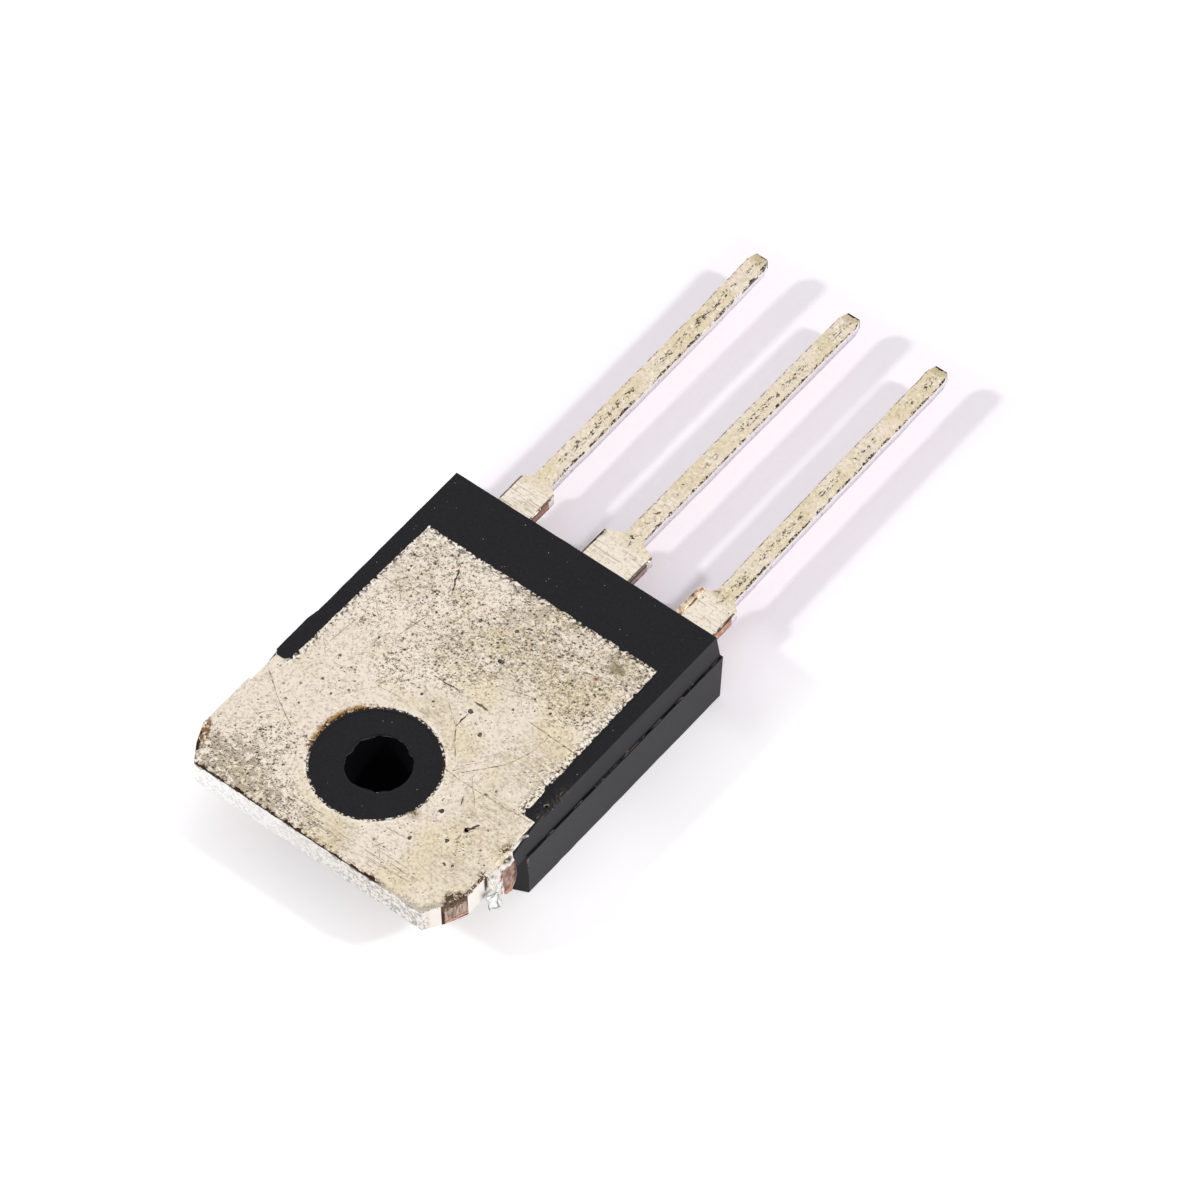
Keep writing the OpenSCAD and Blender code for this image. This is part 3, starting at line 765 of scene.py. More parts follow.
# %% Tin along the moulding
def tin_at_the_moulding(tree, tin, tone):
    """The bright and stained ring round the hole, and the nibbled edge of the pad."""
    flat = add(tree, "ShaderNodeVectorMath", (tin.place, (1, 1, 0)), operation="MULTIPLY")
    ring = add(tree, "ShaderNodeVectorMath", (flat, (RING_X, RING_Y, 0)), operation="DISTANCE")
    ring = add(tree, "ShaderNodeMath", (ring.outputs["Value"], RING_R), operation="SUBTRACT")
    tone = lay(tree, tone, "#F2EBE0", (ring, 0.34, 0.12), (tin.mottle, 0.4, 0.55))
    stain = mask(tree, (ring, 0.42, 0.2), (near_point(tree, tin.place, -3.0, 0.6, 3.0), 0.1, 0.4))
    tone = lay(tree, tone, "#A88352", stain, (tin.mottle, 0.4, 0.5))
    tone = lay(tree, tone, "#5E4328", stain, (tin.fleck, 0.5, 0.42))
    tone = lay(tree, tone, "#35281F", (ring, 0.15, 0.09), (tin.fleck, 0.6, 0.48))
    damp = near_point(tree, tin.place, 3.0, -1.15, 0.5)
    tone = lay(tree, tone, "#6E5638", damp, (tin.fleck, 0.4, 0.55))

    along_rails = (tin.at.outputs["Y"], 1.7, 2.2)
    rim = either(tree, mask(tree, (tin.at.outputs["Y"], PAD_Y - 0.65, PAD_Y - 0.15)),
                 mask(tree, (tin.at.outputs["X"], 6.3, 6.75), along_rails),
                 mask(tree, (tin.at.outputs["X"], -6.45, -6.8), along_rails))
    nubs = add(tree, "ShaderNodeTexNoise", (tin.place, 5.0, 2.0, 0.7))
    tone = lay(tree, tone, "#FBF5EC", rim, (nubs, 0.52, 0.6), 0.75)
    return lay(tree, tone, "#453A30", rim, (nubs, 0.5, 0.41), 0.95)


print("ring and pad edge ready")

# %% [markdown]
# ## The tab's rim
# The punch leaves a thin jagged line along the rim where the tin is gone and the copper is
# brown, and the corners are browned by handling. The rim is three straight lines, so the
# distance to the nearest one is enough. On the right the line is soft, because the punched
# side's bright tin is drawn over it.

# %% Tab rim
TAB_SIDES = (                           # direction out of each side of the tab, and its distance in mm
    ((0.0, -1.0, 0.0), 5.15), ((0.872, -0.489, 0.0), 8.36), ((-0.867, -0.498, 0.0), 8.43),
)


def tab_edge(tree, place):
    """How far a point of the back lies inside the tab's outline, in mm."""
    nearest = None
    for direction, reach in TAB_SIDES:
        out = add(tree, "ShaderNodeVectorMath", (place, direction), operation="DOT_PRODUCT")
        inside = add(tree, "ShaderNodeMath", (reach, out.outputs["Value"]), operation="SUBTRACT")
        if nearest is None:
            nearest = inside
        else:
            nearest = add(tree, "ShaderNodeMath", (nearest, inside), operation="MINIMUM")
    return nearest


def tin_at_the_rim(tree, tin, tone):
    """The jagged line along the rim, the browned corners, a copper spot and a smear."""
    wander = mask(tree, (tin.mottle, 0.4, 0.65, 0.0, 0.16))
    inside = add(tree, "ShaderNodeMath", (tab_edge(tree, tin.place), wander), operation="SUBTRACT")
    tone = lay(tree, tone, "#6F5D48", (inside, 0.26, 0.0), (tin.fleck, 0.58, 0.42), 0.85)
    soft = mask(tree, (tin.at.outputs["X"], 3.6, 4.8))
    tone = lay(tree, tone, "#BDB6A8", soft, (inside, 0.22, 0.0), 0.85)
    crisp = mask(tree, (soft, 1.0, 0.25))
    tone = lay(tree, tone, "#3B2C1F", crisp, (inside, 0.06, 0.03))
    brink = mask(tree, (tin.at.outputs["X"], 7.6, 7.66), (tin.at.outputs["Y"], -1.85, -1.95))
    tone = lay(tree, tone, "#5B4633", brink, (tin.fleck, 0.62, 0.52), 0.9)

    brown = add(tree, "ShaderNodeAttribute", attribute_name="brown").outputs["Fac"]
    brown = mask(tree, (brown, 0.05, 0.45), (tin.fleck, 0.64, 0.48))
    tone = lay(tree, tone, "#4F3822", brown, (tin.mottle, 0.34, 0.44), 0.95)
    rusty = mask(tree, brown, (tin.at.outputs["X"], 0.0, -1.0))
    tone = lay(tree, tone, "#9C6B38", rusty, (tin.fleck, 0.5, 0.4), 0.85)
    copper_spot = near_point(tree, tin.place, 4.83, 9.75, 0.24)
    tone = lay(tree, tone, "#8A4A2C", copper_spot, (tin.fleck, 0.4, 0.5))
    smear = near_point(tree, tin.place, 5.3, 10.9, 0.9)
    return lay(tree, tone, "#85775B", smear, (tin.mottle, 0.36, 0.6), 0.8)


print("tab rim ready")

# %% [markdown]
# ## Punched sides, and the whole plating
# Nothing rubs the punched sides, so their tin is still bright, a little greyer towards the
# right of the tab's end. Their tones are painted lighter or darker as light falls on each
# side, and the crevice beside the torn lip is painted shade. They could be a material of
# their own, given face by face. A mask from the face's direction lets the rounded edges
# blend from one finish into the other.

# %% Plating finish
def punched_sides(tree, tin):
    """Bright tin, greyer in soft patches, with a dark line under the rim. The right-hand chamfer
    and the left side are painted darker and the right side lighter, as light falls on them, and
    the crevice at the lip is painted shade.
    """
    sheen = lay(tree, "#EEF0EC", "#E4E1DA", (tin.at.outputs["X"], -6.0, 4.0))
    # painted shade: the right-hand chamfer is darker than the tab's end
    sheen = lay(tree, sheen, "#E9E4DA", (tin.at.outputs["X"], 6.5, 6.9))
    # painted light: the sides behind the tab's corners are lighter, as if more light fell on them
    sheen = lay(tree, sheen, "#F8F4EC", (tin.at.outputs["Y"], -3.3, -3.1))
    # painted shade: the left side and its chamfer are darker than the rest
    sheen = lay(tree, sheen, "#C9C7C0", (tin.at.outputs["X"], -6.7, -7.1))
    pepper = add(tree, "ShaderNodeTexNoise", (tin.place, 5.5, 3.0, 0.75))
    dull = mask(tree, (tin.at.outputs["X"], -2.0, 5.2, 0.3, 0.85), (tin.at.outputs["Y"], -4.7, -5.0))
    sheen = lay(tree, sheen, "#938E88", dull, (pepper, 0.44, 0.62))
    wander = mask(tree, (tin.mottle, 0.42, 0.66, 0.0, 0.16))
    top_line = add(tree, "ShaderNodeMath", (BACK_Z - 0.03, wander), operation="SUBTRACT")
    line = add(tree, "ShaderNodeMath", (tin.at.outputs["Z"], top_line), operation="GREATER_THAN")
    sheen = lay(tree, sheen, "#5C4A3A", line, (tin.fleck, 0.4, 0.5), 0.85)
    # painted shade: a dark crevice between the tab's side and the torn lip
    gap = mask(tree, near_point(tree, tin.place, 7.8, -1.9, 0.16), (tin.at.outputs["Z"], 3.3, 3.8))
    return lay(tree, sheen, "#33291F", gap)


def plating_finish():
    """Satin metal, creamy rather than grey. Its reflections are soft and broken by the pits."""
    made, tree, place = start_material("tin-plated copper, satin, pitted and handled")
    tin = tin_patterns(tree, place)
    tone, pitted = worn_tin(tree, tin)
    tone = tin_at_the_moulding(tree, tin, tone)
    tone = tin_at_the_rim(tree, tin, tone)
    tone = add(tree, "ShaderNodeMix", (upright_faces(tree), tone, punched_sides(tree, tin)),
               data_type="RGBA")
    rough = add(tree, "ShaderNodeMapRange", (tin.fleck, 0.3, 0.7, 0.32, 0.5))
    low = add(tree, "ShaderNodeMath", (tin.fleck, mask(tree, pitted, 0.6)), operation="SUBTRACT")
    finish_material(tree, tone, rough, low, 0.012, Metallic=1.0)
    return made


plating = plating_finish()
print("metal finish:", plating.name)

# %% [markdown]
# ## Sheared copper
# Where the press or a pair of cutters went through the metal, the tin ends and the copper
# shows. It is pinkish and streaked in the cutting direction, brown where the air has been
# at it for years, and bright orange where the last sliver tore away.

# %% Copper finishes
def facet_finish():
    """Pinkish streaks over browned metal. A bright torn line runs along its lower end."""
    made, tree, place = start_material("copper, cut through and browned")
    at = add(tree, "ShaderNodeSeparateXYZ", (place,))
    pulled = add(tree, "ShaderNodeMapping", {"Vector": place, "Scale": (6.0, 6.0, 0.9)})
    streaks = add(tree, "ShaderNodeTexNoise", (pulled, 1.6, 4.0, 0.6))
    grain = add(tree, "ShaderNodeTexNoise", (place, 5.0, 3.0, 0.7))
    tone = lay(tree, "#745F54", "#B8A294", (streaks, 0.35, 0.65))
    torn = add(tree, "ShaderNodeMath", (at.outputs["Z"], mask(tree, (grain, 0.3, 0.7, 0.0, 0.07))),
               operation="ADD")
    slant = add(tree, "ShaderNodeMath", (at.outputs["Y"], -0.12, torn), operation="MULTIPLY_ADD")
    tone = lay(tree, tone, "#7A4E3A", (slant, 3.88, 3.82))
    tone = lay(tree, tone, "#E2A78C", (slant, 3.81, 3.75))
    tone = lay(tree, tone, "#5E3A2A", (slant, 3.71, 3.67))
    ragged_end = add(tree, "ShaderNodeMath", (grain, 0.2, at.outputs["Y"]), operation="MULTIPLY_ADD")
    tone = lay(tree, tone, "#33241C", (ragged_end, -4.1, -4.15))
    crust = add(tree, "ShaderNodeMath", (at.outputs["Z"], mask(tree, (grain, 0.3, 0.7, -0.15, 0.15))),
                operation="ADD")
    tone = lay(tree, tone, "#5E4A34", (crust, 4.12, 4.25))
    tone = lay(tree, tone, "#2B1F15", (crust, 4.2, 4.3), (grain, 0.52, 0.6))
    finish_material(tree, tone, 0.36, streaks, 0.02, Metallic=1.0)
    return made


def shear_finish():
    """Warm bright copper at the shoulders, dark along both edges of the cut, with painted shade where
    they leave the moulding.
    """
    made, tree, place = start_material("copper, sheared at the leads' shoulders")
    at = add(tree, "ShaderNodeSeparateXYZ", (place,))
    grain = add(tree, "ShaderNodeTexNoise", (place, 2.6, 4.0, 0.7))
    tone = lay(tree, "#B98468", "#F0C0A0", (grain, 0.4, 0.62))
    middle = near_point(tree, place, 1.4, 16.6, 2.4)
    lower = mask(tree, (at.outputs["Z"], LEAD_TOP_Z - 0.12, LEAD_TOP_Z - 0.3))
    worn = lay(tree, "#5A2C1E", "#B59A8E", lower)
    tone = add(tree, "ShaderNodeMix", (mask(tree, (middle, 0.1, 0.3)), tone, worn), data_type="RGBA")
    tone = lay(tree, tone, "#9A6A58", near_point(tree, place, -4.3, 16.6, 2.0), 0.8)
    edge = mask(tree, (at.outputs["Z"], LEAD_TOP_Z - 0.17, LEAD_TOP_Z - 0.07))
    tone = lay(tree, tone, "#24130D", edge, (grain, 0.42, 0.52))
    low_edge = mask(tree, (at.outputs["Z"], LEAD_TOP_Z - 0.42, LEAD_TOP_Z - 0.5))
    tone = lay(tree, tone, "#2E1A12", low_edge, (grain, 0.45, 0.55), 0.8)
    # painted shade: near black in the corner where the shoulders meet the moulding's wall
    tone = lay(tree, tone, "#1A100C", (at.outputs["Y"], 15.5, 15.25), 0.8)
    finish_material(tree, tone, 0.32, grain, 0.02, Metallic=1.0)
    return made


def burr_finish():
    """A bright warm sliver with dark gaps, where thin tin lies over drawn copper."""
    made, tree, place = start_material("copper burr, drawn out and tinned thin")
    grain = add(tree, "ShaderNodeTexNoise", (place, 3.0, 3.0, 0.65))
    tone = lay(tree, "#A07A5E", "#EAD7C2", (grain, 0.4, 0.6))
    tone = lay(tree, tone, "#4A2C1E", (grain, 0.42, 0.35), 0.9)
    finish_material(tree, tone, 0.3, grain, 0.03, Metallic=1.0)
    return made


cut_copper = facet_finish()
shear_copper = shear_finish()
burr = burr_finish()
print("copper finishes:", cut_copper.name, "|", shear_copper.name)

# %% [markdown]
# ## Lead plating
# Leads are held in a fixture while they are dipped, so the tin lies smooth and straw
# yellow along them. A row of pits follows the middle, a dirty broken line follows the
# right edge, the rolled shoulder keeps fine lines across, and the cut tips are dark. Each
# lead carries its own distance from its centre line, so that one recipe fits all three.

# %% Dipped tin
def lead_patterns(tree, place):
    """What all layers of the lead plating share: coordinates, distances and three noises."""
    lead = SimpleNamespace(place=place, at=add(tree, "ShaderNodeSeparateXYZ", (place,)))
    lead.across = add(tree, "ShaderNodeAttribute", attribute_name="across").outputs["Fac"]
    lead.mottle = add(tree, "ShaderNodeTexNoise", (place, 2.0, 4.0, 0.65))
    lead.fleck = add(tree, "ShaderNodeTexNoise", (place, 5.5, 2.0, 0.75))
    lead.cloud = add(tree, "ShaderNodeTexNoise", (place, 0.5, 2.0, 0.5))
    lead.to_tip = add(tree, "ShaderNodeMath", (TIP_Y, lead.at.outputs["Y"]), operation="SUBTRACT")
    return lead


def dipped_tin(tree, lead):
    """Straw-yellow tin, mottled, paler and finely lined across on the shoulders."""
    shoulder = mask(tree, (lead.at.outputs["Y"], 18.6, 17.4))
    tone = lay(tree, "#E9DBC9", "#E1D2B4", (lead.cloud, 0.35, 0.65))
    tone = lay(tree, tone, "#F0E5D6", shoulder)
    tone = lay(tree, tone, "#B5A78E", (lead.fleck, 0.46, 0.34), 0.6)
    tone = lay(tree, tone, "#F8F0E2", (lead.fleck, 0.55, 0.68), 0.7)
    tone = lay(tree, tone, "#C4B595", (lead.mottle, 0.5, 0.72), 0.35)
    rolled = add(tree, "ShaderNodeMapping", {"Vector": lead.place, "Scale": (0.5, 9.0, 1.0)})
    lines = add(tree, "ShaderNodeTexNoise", (rolled, 1.0, 2.0, 0.6))
    return lay(tree, tone, "#968977", shoulder, (lines, 0.55, 0.65), 0.5)


def pit_row(tree, lead, tone):
    """Pits down the middle in clusters, and a few strays. Gives the tone and the row's mask."""
    centre = frayed(tree, lead.across, (lead.mottle, 0.3, 0.7, -0.1, 0.1))
    centre = add(tree, "ShaderNodeMath", (centre,), operation="ABSOLUTE")
    stretched = add(tree, "ShaderNodeMapping", {"Vector": lead.place, "Scale": (0.2, 1.0, 1.0)})
    clusters = add(tree, "ShaderNodeTexNoise", (stretched, 0.7, 2.0, 0.6))
    row = mask(tree, (centre, 0.17, 0.1), mask(tree, (clusters, 0.42, 0.5)))
    row = mask(tree, row, (lead.at.outputs["Y"], 17.7, 18.2))
    pulled = add(tree, "ShaderNodeMapping", {"Vector": lead.place, "Scale": (1.5, 0.7, 1.0)})
    torn = add(tree, "ShaderNodeTexNoise", (pulled, 6.0, 3.0, 0.8))
    pits = mask(tree, row, (torn, 0.52, 0.56))
    strays = spots(tree, lead.place, 0.3, 0.042, 0.12, seed=4.0)
    return lay(tree, tone, "#3B342B", either(tree, pits, strays), 0.95), pits


print("dipped tin ready")

# %% [markdown]
# ## Dirt, tips and sides of the leads
# Dirt gathers along the edges that the cutters left, thick on the right and thin on the
# left, and at three places where a shoulder was bruised. The tips are brown with a dark
# outline, where the cut copper aged. The sides are pale like the header's. Each could be a
# strip of its own, but a distance to the edge or the tip is a softer and shorter recipe.

# %% Lead finish
def lead_dirt(tree, lead, tone):
    """Broken dirt lines along both edges, bruises on the shoulders, and their dark rim."""
    edge = frayed(tree, lead.across, (lead.mottle, 0.35, 0.65, -0.05, 0.07))
    slim = mask(tree, (lead.at.outputs["Y"], 18.4, 18.8))
    tone = lay(tree, tone, "#2A231C", (edge, 0.44, 0.475), slim, (lead.fleck, 0.42, 0.5), 0.95)
    tone = lay(tree, tone, "#3E342A", (edge, -0.455, -0.485), slim, (lead.mottle, 0.38, 0.46), 0.9)
    rust = near_point(tree, lead.place, 5.0, 18.4, 0.3)
    tone = lay(tree, tone, "#6A3F26", rust, (lead.fleck, 0.4, 0.5))
    flank = frayed(tree, lead.across, (lead.mottle, 0.3, 0.7, -0.1, 0.1))
    tone = lay(tree, tone, "#4A2A1C", (flank, -1.3, -1.38), (lead.at.outputs["Y"], 16.2, 16.6))
    bruise = near_point(tree, lead.place, -1.4, 17.8, 0.35)
    tone = lay(tree, tone, "#2A1A12", bruise, (lead.fleck, 0.45, 0.5))
    inner = add(tree, "ShaderNodeMath", (lead.at.outputs["X"],), operation="ABSOLUTE")
    half_width = add(tree, "ShaderNodeMapRange", (inner, 2.0, 3.0, 1.425, 1.0))
    out = add(tree, "ShaderNodeMath", (lead.across,), operation="ABSOLUTE")
    rim = add(tree, "ShaderNodeMath", (out, half_width), operation="SUBTRACT")
    return lay(tree, tone, "#3A2A20", (rim, -0.12, -0.07), (lead.mottle, 0.4, 0.5), 0.85)


def lead_tips(tree, lead, tone):
    """Browned tips with a dark outline."""
    browned = frayed(tree, lead.to_tip, (lead.mottle, 0.3, 0.7, -0.2, 0.2))
    tone = lay(tree, tone, "#B3A178", (browned, 0.5, 0.2), 0.6)
    outline = frayed(tree, lead.to_tip, (lead.mottle, 0.35, 0.65, -0.07, 0.05))
    return lay(tree, tone, "#33261C", (outline, 0.09, 0.03))


def lead_sides(tree, lead):
    """Near white, mauve-grey at the foot, painted greyer on the left sides, with a dark broken line
    along the top.
    """
    height = lead.at.outputs["Z"]
    side = lay(tree, "#FFFDFA", "#E2DADF", (height, LEAD_TOP_Z - 0.15, LEAD_TOP_Z - 0.55))
    # painted shade: the left sides are greyer than the right ones
    side = lay(tree, side, "#D3CFC9", (lead.across, -0.3, -0.45), 0.8)
    side = lay(tree, side, "#9A928C", (lead.fleck, 0.56, 0.66), 0.5)
    dark = mask(tree, (height, LEAD_TOP_Z - 0.1, LEAD_TOP_Z - 0.04), (lead.mottle, 0.42, 0.5))
    side = lay(tree, side, "#2E261F", dark, 0.9)
    return lay(tree, side, "#3A2C20", (lead.to_tip, 0.2, 0.05), 0.8)


def lead_finish():
    """Smoother and yellower than the header, so that each lead shows as one bright bar."""
    made, tree, place = start_material("tin-plated copper, dipped, on the leads")
    lead = lead_patterns(tree, place)
    tone, pits = pit_row(tree, lead, dipped_tin(tree, lead))
    tone = lead_tips(tree, lead, lead_dirt(tree, lead, tone))
    tone = add(tree, "ShaderNodeMix", (upright_faces(tree), tone, lead_sides(tree, lead)),
               data_type="RGBA")
    rough = add(tree, "ShaderNodeMapRange", (lead.fleck, 0.3, 0.7, 0.3, 0.46))
    low = add(tree, "ShaderNodeMath", (lead.fleck, mask(tree, pits, 0.6)), operation="SUBTRACT")
    finish_material(tree, tone, rough, low, 0.01, Metallic=1.0)
    return made


lead_plating = lead_finish()
print("lead finish:", lead_plating.name)

# %% [markdown]
# ## Header plate
# The punch pulls the metal down as it enters, so the edges it meets first are rolled over
# and the far edges keep a sharp burr. This header was punched from below: its lower edges
# are round and its upper ones crisp. The small bevelled corner beside the torn lip is the
# one face that was cut after plating, so it alone gets the copper finish.

# %% Header plate
ROLL = 0.12                             # mm, where the punch drew the lower edge over
BURR_EDGE = 0.022
CUT_Y = 14.0                            # inside the moulding, where the copy is parted in two


def part_of_frame(keep_far):
    """The header side or the lead side of the one-piece frame, closed at the cut."""
    bm = solid_copy("cathode_frame")
    cut = bmesh.ops.bisect_plane(bm, geom=bm.verts[:] + bm.edges[:] + bm.faces[:], dist=1e-8,
                                 plane_co=(0, CUT_Y * MM, 0), plane_no=(0, 1, 0),
                                 clear_inner=keep_far, clear_outer=not keep_far)
    bmesh.ops.holes_fill(bm, edges=[e for e in cut["geom_cut"] if isinstance(e, bmesh.types.BMEdge)])
    bmesh.ops.recalc_face_normals(bm, faces=bm.faces)
    return bm


others = touch_tree("mould_body", *INSIDE)
bm = part_of_frame(False)
break_edges(bm, free_edges(bm, others, lambda p: p.z < PARTING_Z + 0.1 and p.y < 0), ROLL, 3)
break_edges(bm, free_edges(bm, others, lambda p: p.z > BACK_Z - 0.1), BURR_EDGE, 1)
slice_at(bm, [-7.6 + 0.38 * i for i in range(41)], (1, 0, 0))
slice_at(bm, [-4.9 + 0.38 * i for i in range(48)], (0, 1, 0))
bm.normal_update()
layers = {name: bm.verts.layers.float.new(name) for name in MARKED}
for vert in bm.verts:
    spot = vert.co / MM
    for name, layer in layers.items():
        vert[layer] = patch_strength(MARKED[name], spot.x, spot.y)
    if spot.y < -4.9 and spot.z > BACK_Z - 0.05:
        vert.co.z += 0.02 * MM * noise.noise(spot / 0.35)
        vert.co.y += 0.03 * MM * noise.noise(spot / 0.4 + Vector((5, 5, 5)))
copper_faces = 0
for face in bm.faces:
    middle = face.calc_center_median() / MM
    facet = face.normal.x > 0.6 and face.normal.y < -0.25 and middle.y > -4.3 and middle.y < -3.1
    face.material_index = 1 if facet else 0
    copper_faces += facet
hand_over("header_plate", bm, (plating, cut_copper), "cathode_frame")
print(copper_faces, "faces of cut copper")

# %% [markdown]
# ## Finishes of the torn lip
# Tearing leaves three surfaces: tin drawn out bright, copper broken in coarse grains, and
# a film of tin that peeled and creased. They are small, so they are told apart by grain and
# brightness more than by colour.

# %% Tin and break finishes
def torn_tin_finish():
    """The brightest metal of all, silvery, with painted shade in grey and dark brown creases."""
    made, tree, place = start_material("tin, torn and bright")
    grain = add(tree, "ShaderNodeTexNoise", (place, 2.6, 3.0, 0.6))
    # painted shade: grey and dark brown creases drawn by noise
    tone = lay(tree, "#F1ECE4", "#A69C92", (grain, 0.46, 0.62))
    tone = lay(tree, tone, "#4A3628", (grain, 0.58, 0.66), 0.9)
    finish_material(tree, tone, 0.26, grain, 0.03, Metallic=1.0)
    return made


def break_finish():
    """Grainy and dull pink, so that the break differs from any cut face."""
    made, tree, place = start_material("copper, torn and grainy")
    at = add(tree, "ShaderNodeSeparateXYZ", (place,))
    pulled = add(tree, "ShaderNodeMapping", {"Vector": place, "Scale": (1.0, 2.4, 0.8)})
    grain = add(tree, "ShaderNodeTexNoise", (pulled, 3.0, 4.0, 0.7))
    tone = lay(tree, "#7D5F52", "#BC9C8C", (grain, 0.38, 0.62))
    tone = lay(tree, tone, "#C98E72", (at.outputs["Z"], 2.85, 2.6), 0.85)
    tone = lay(tree, tone, "#5A2D1C", (at.outputs["Y"], -0.36, -0.26), 0.85)
    tone = lay(tree, tone, "#2A1812", (grain, 0.62, 0.68), 0.8)
    finish_material(tree, tone, 0.4, grain, 0.03, Metallic=1.0)
    return made


def foil_finish():
    """Bright flat facets between fine grey creases of painted shade, like any thin crumpled foil, greyer
    at its edges.
    """
    made, tree, place = start_material("tin film, peeled and creased")
    creases = add(tree, "ShaderNodeTexNoise", (place, 1.3, 1.0, 0.5, 2.0, 0.6))
    rim = add(tree, "ShaderNodeAttribute", attribute_name="rim").outputs["Fac"]
    folded = add(tree, "ShaderNodeMath", (creases, 0.5), operation="SUBTRACT")
    folded = add(tree, "ShaderNodeMath", (folded,), operation="ABSOLUTE")
    # painted shade: thin grey lines for the creases
    tone = lay(tree, "#F6F6F3", "#9BA19A", (folded, 0.035, 0.01))
    tone = lay(tree, tone, "#8A918B", (rim, 0.86, 0.96))
    finish_material(tree, tone, 0.35, creases, 0.03, Metallic=1.0)
    return made


torn_tin = torn_tin_finish()
foil = foil_finish()
torn_copper = break_finish()
print("lip finishes:", torn_tin.name, "|", torn_copper.name)

# %% [markdown]
# ## Pits and scratches
# Single marks that the eye finds again are made one by one. A scratch is a thin ragged
# strip of the dirt that fills it, and a pit is an irregular spot of dirt with a painted pale
# highlight beside it. Both are closed films a few thousandths thick on the back.

# %% Dirt finish
def dirt_finish(name, dark, light):
    """Dull and rough, so that marks stay dark while the tin round them shines."""
    made, tree, place = start_material(name)
    grain = add(tree, "ShaderNodeTexNoise", (place, 4.0, 3.0, 0.7))
    tone = lay(tree, dark, light, (grain, 0.35, 0.65))
    finish_material(tree, tone, 0.7, grain, 0.01, Metallic=0.4)
    return made


dirt = dirt_finish("dirt, pressed into the tin", "#3A322A", "#7C6E5A")
faint_dirt = dirt_finish("dirt, thin in a hairline", "#6F624F", "#C9BBA3")
print("dirt finishes:", dirt.name, "|", faint_dirt.name)

# %% [markdown]
# ## The marks themselves
# Painted into the plating, each mark would need nodes of its own. As a film it costs a few
# faces, and it has a crisp border at any distance. The larger marks stand where the tables
# have them, and fine hairlines are scattered between them.

# %% Single marks
MARK_T = 0.003                          # mm


def blob(x, y, z, radius, seed):
    """An irregular flat spot, closed."""
    bm = bmesh.new()
    bmesh.ops.create_circle(bm, cap_ends=True, segments=18, radius=radius * MM)
    for vert in bm.verts:
        vert.co *= 1 + 0.55 * noise.noise(vert.co / MM / radius * 0.9 + Vector((seed, x, y)))
        vert.co += Vector((x, y, z)) * MM
    return thicken(bm, MARK_T)


def mark_strip(x0, y0, x1, y1, width, seed):
    """A ragged strip along a scratch, with ends that run out."""
    start, end = Vector((x0, y0, BACK_Z + MARK_T)), Vector((x1, y1, BACK_Z + MARK_T))
    side = Vector((y0 - y1, x1 - x0, 0)).normalized()

    def path(u):
        bend = 0.07 * noise.noise(Vector((u * 3, seed, 0))) * math.sin(math.pi * u)
        return start.lerp(end, u) + side * bend, side

    def half(point):
        u = (point - start).length / (end - start).length
        run_out = min(1.0, 8 * u + 0.2, 8 * (1 - u) + 0.2)
        return width * run_out * max(0.25, 0.9 + 1.3 * noise.noise(point / 0.12))
    steps = max(6, int((end - start).length / 0.07))
    return thicken(bent_strip(path, lambda p: -half(p), half, steps), MARK_T)


def joined(parts):
    """Several meshes in one."""
    whole = bmesh.new()
    for part in parts:
        mesh = bpy.data.meshes.new("part")
        part.to_mesh(mesh)
        whole.from_mesh(mesh)
        part.free()
        bpy.data.meshes.remove(mesh)
    return whole


marks = [blob(x, y, BACK_Z + 2 * MARK_T, reach * 0.62, i) for i, (x, y, reach) in enumerate(PITS)]
marks += [mark_strip(*line, seed) for seed, line in enumerate(STROKES)]
hand_over("pit_and_scratch_dirt", joined(marks), (dirt,))
hairs = [mark_strip(*line, seed) for seed, line in enumerate(HAIRLINES)]
scatter = random.Random(11)
for seed in range(110):
    x, y = scatter.uniform(-6.4, 6.4), scatter.uniform(-4.6, 11.6)
    turn = scatter.choice((0.1, 0.9, -0.8, scatter.uniform(0, math.pi)))
    reach = scatter.uniform(0.25, 0.9)
    ends = (x - reach * math.cos(turn), y - reach * math.sin(turn), x + reach * math.cos(turn),
            y + reach * math.sin(turn))
    clear = min(math.hypot(ends[i] - RING_X, ends[i + 1] - RING_Y) for i in (0, 2)) > RING_R + 0.2
    clear = clear and math.hypot(x - RING_X, y - RING_Y) > RING_R + 0.2
    if clear and max(ends[1], ends[3]) < 11.7:
        hairs.append(mark_strip(*ends, scatter.uniform(0.006, 0.013), seed + 50))
for seed in range(34):
    x, y, reach = scatter.uniform(-2.5, 5.0), scatter.uniform(-4.85, -3.4), scatter.uniform(0.3, 1.1)
    if math.hypot(x - RING_X, y - RING_Y) > RING_R + 0.3:
        width = scatter.uniform(0.006, 0.012)
        hairs.append(mark_strip(x - reach, y - 0.03, x + reach, y + 0.03, width, seed))
hand_over("hairline_dirt", joined(hairs), (faint_dirt,))
# painted highlight: a pale film beside each pit, set off to one side
pit_highlights = [blob(x + 0.03, y - 0.03, BACK_Z + MARK_T, reach * 0.85, i)
        for i, (x, y, reach) in enumerate(PITS)]
hand_over("pit_highlight_rims", joined(pit_highlights), (torn_tin,))

# %% [markdown]
# ## Tools for craggy lumps
# Torn and squeezed-out bits have no plain form. Sculpting would do, but it can't be
# repeated from a script, so a box is cut into a fine grid and its points are pushed along
# their normals by ridged noise.

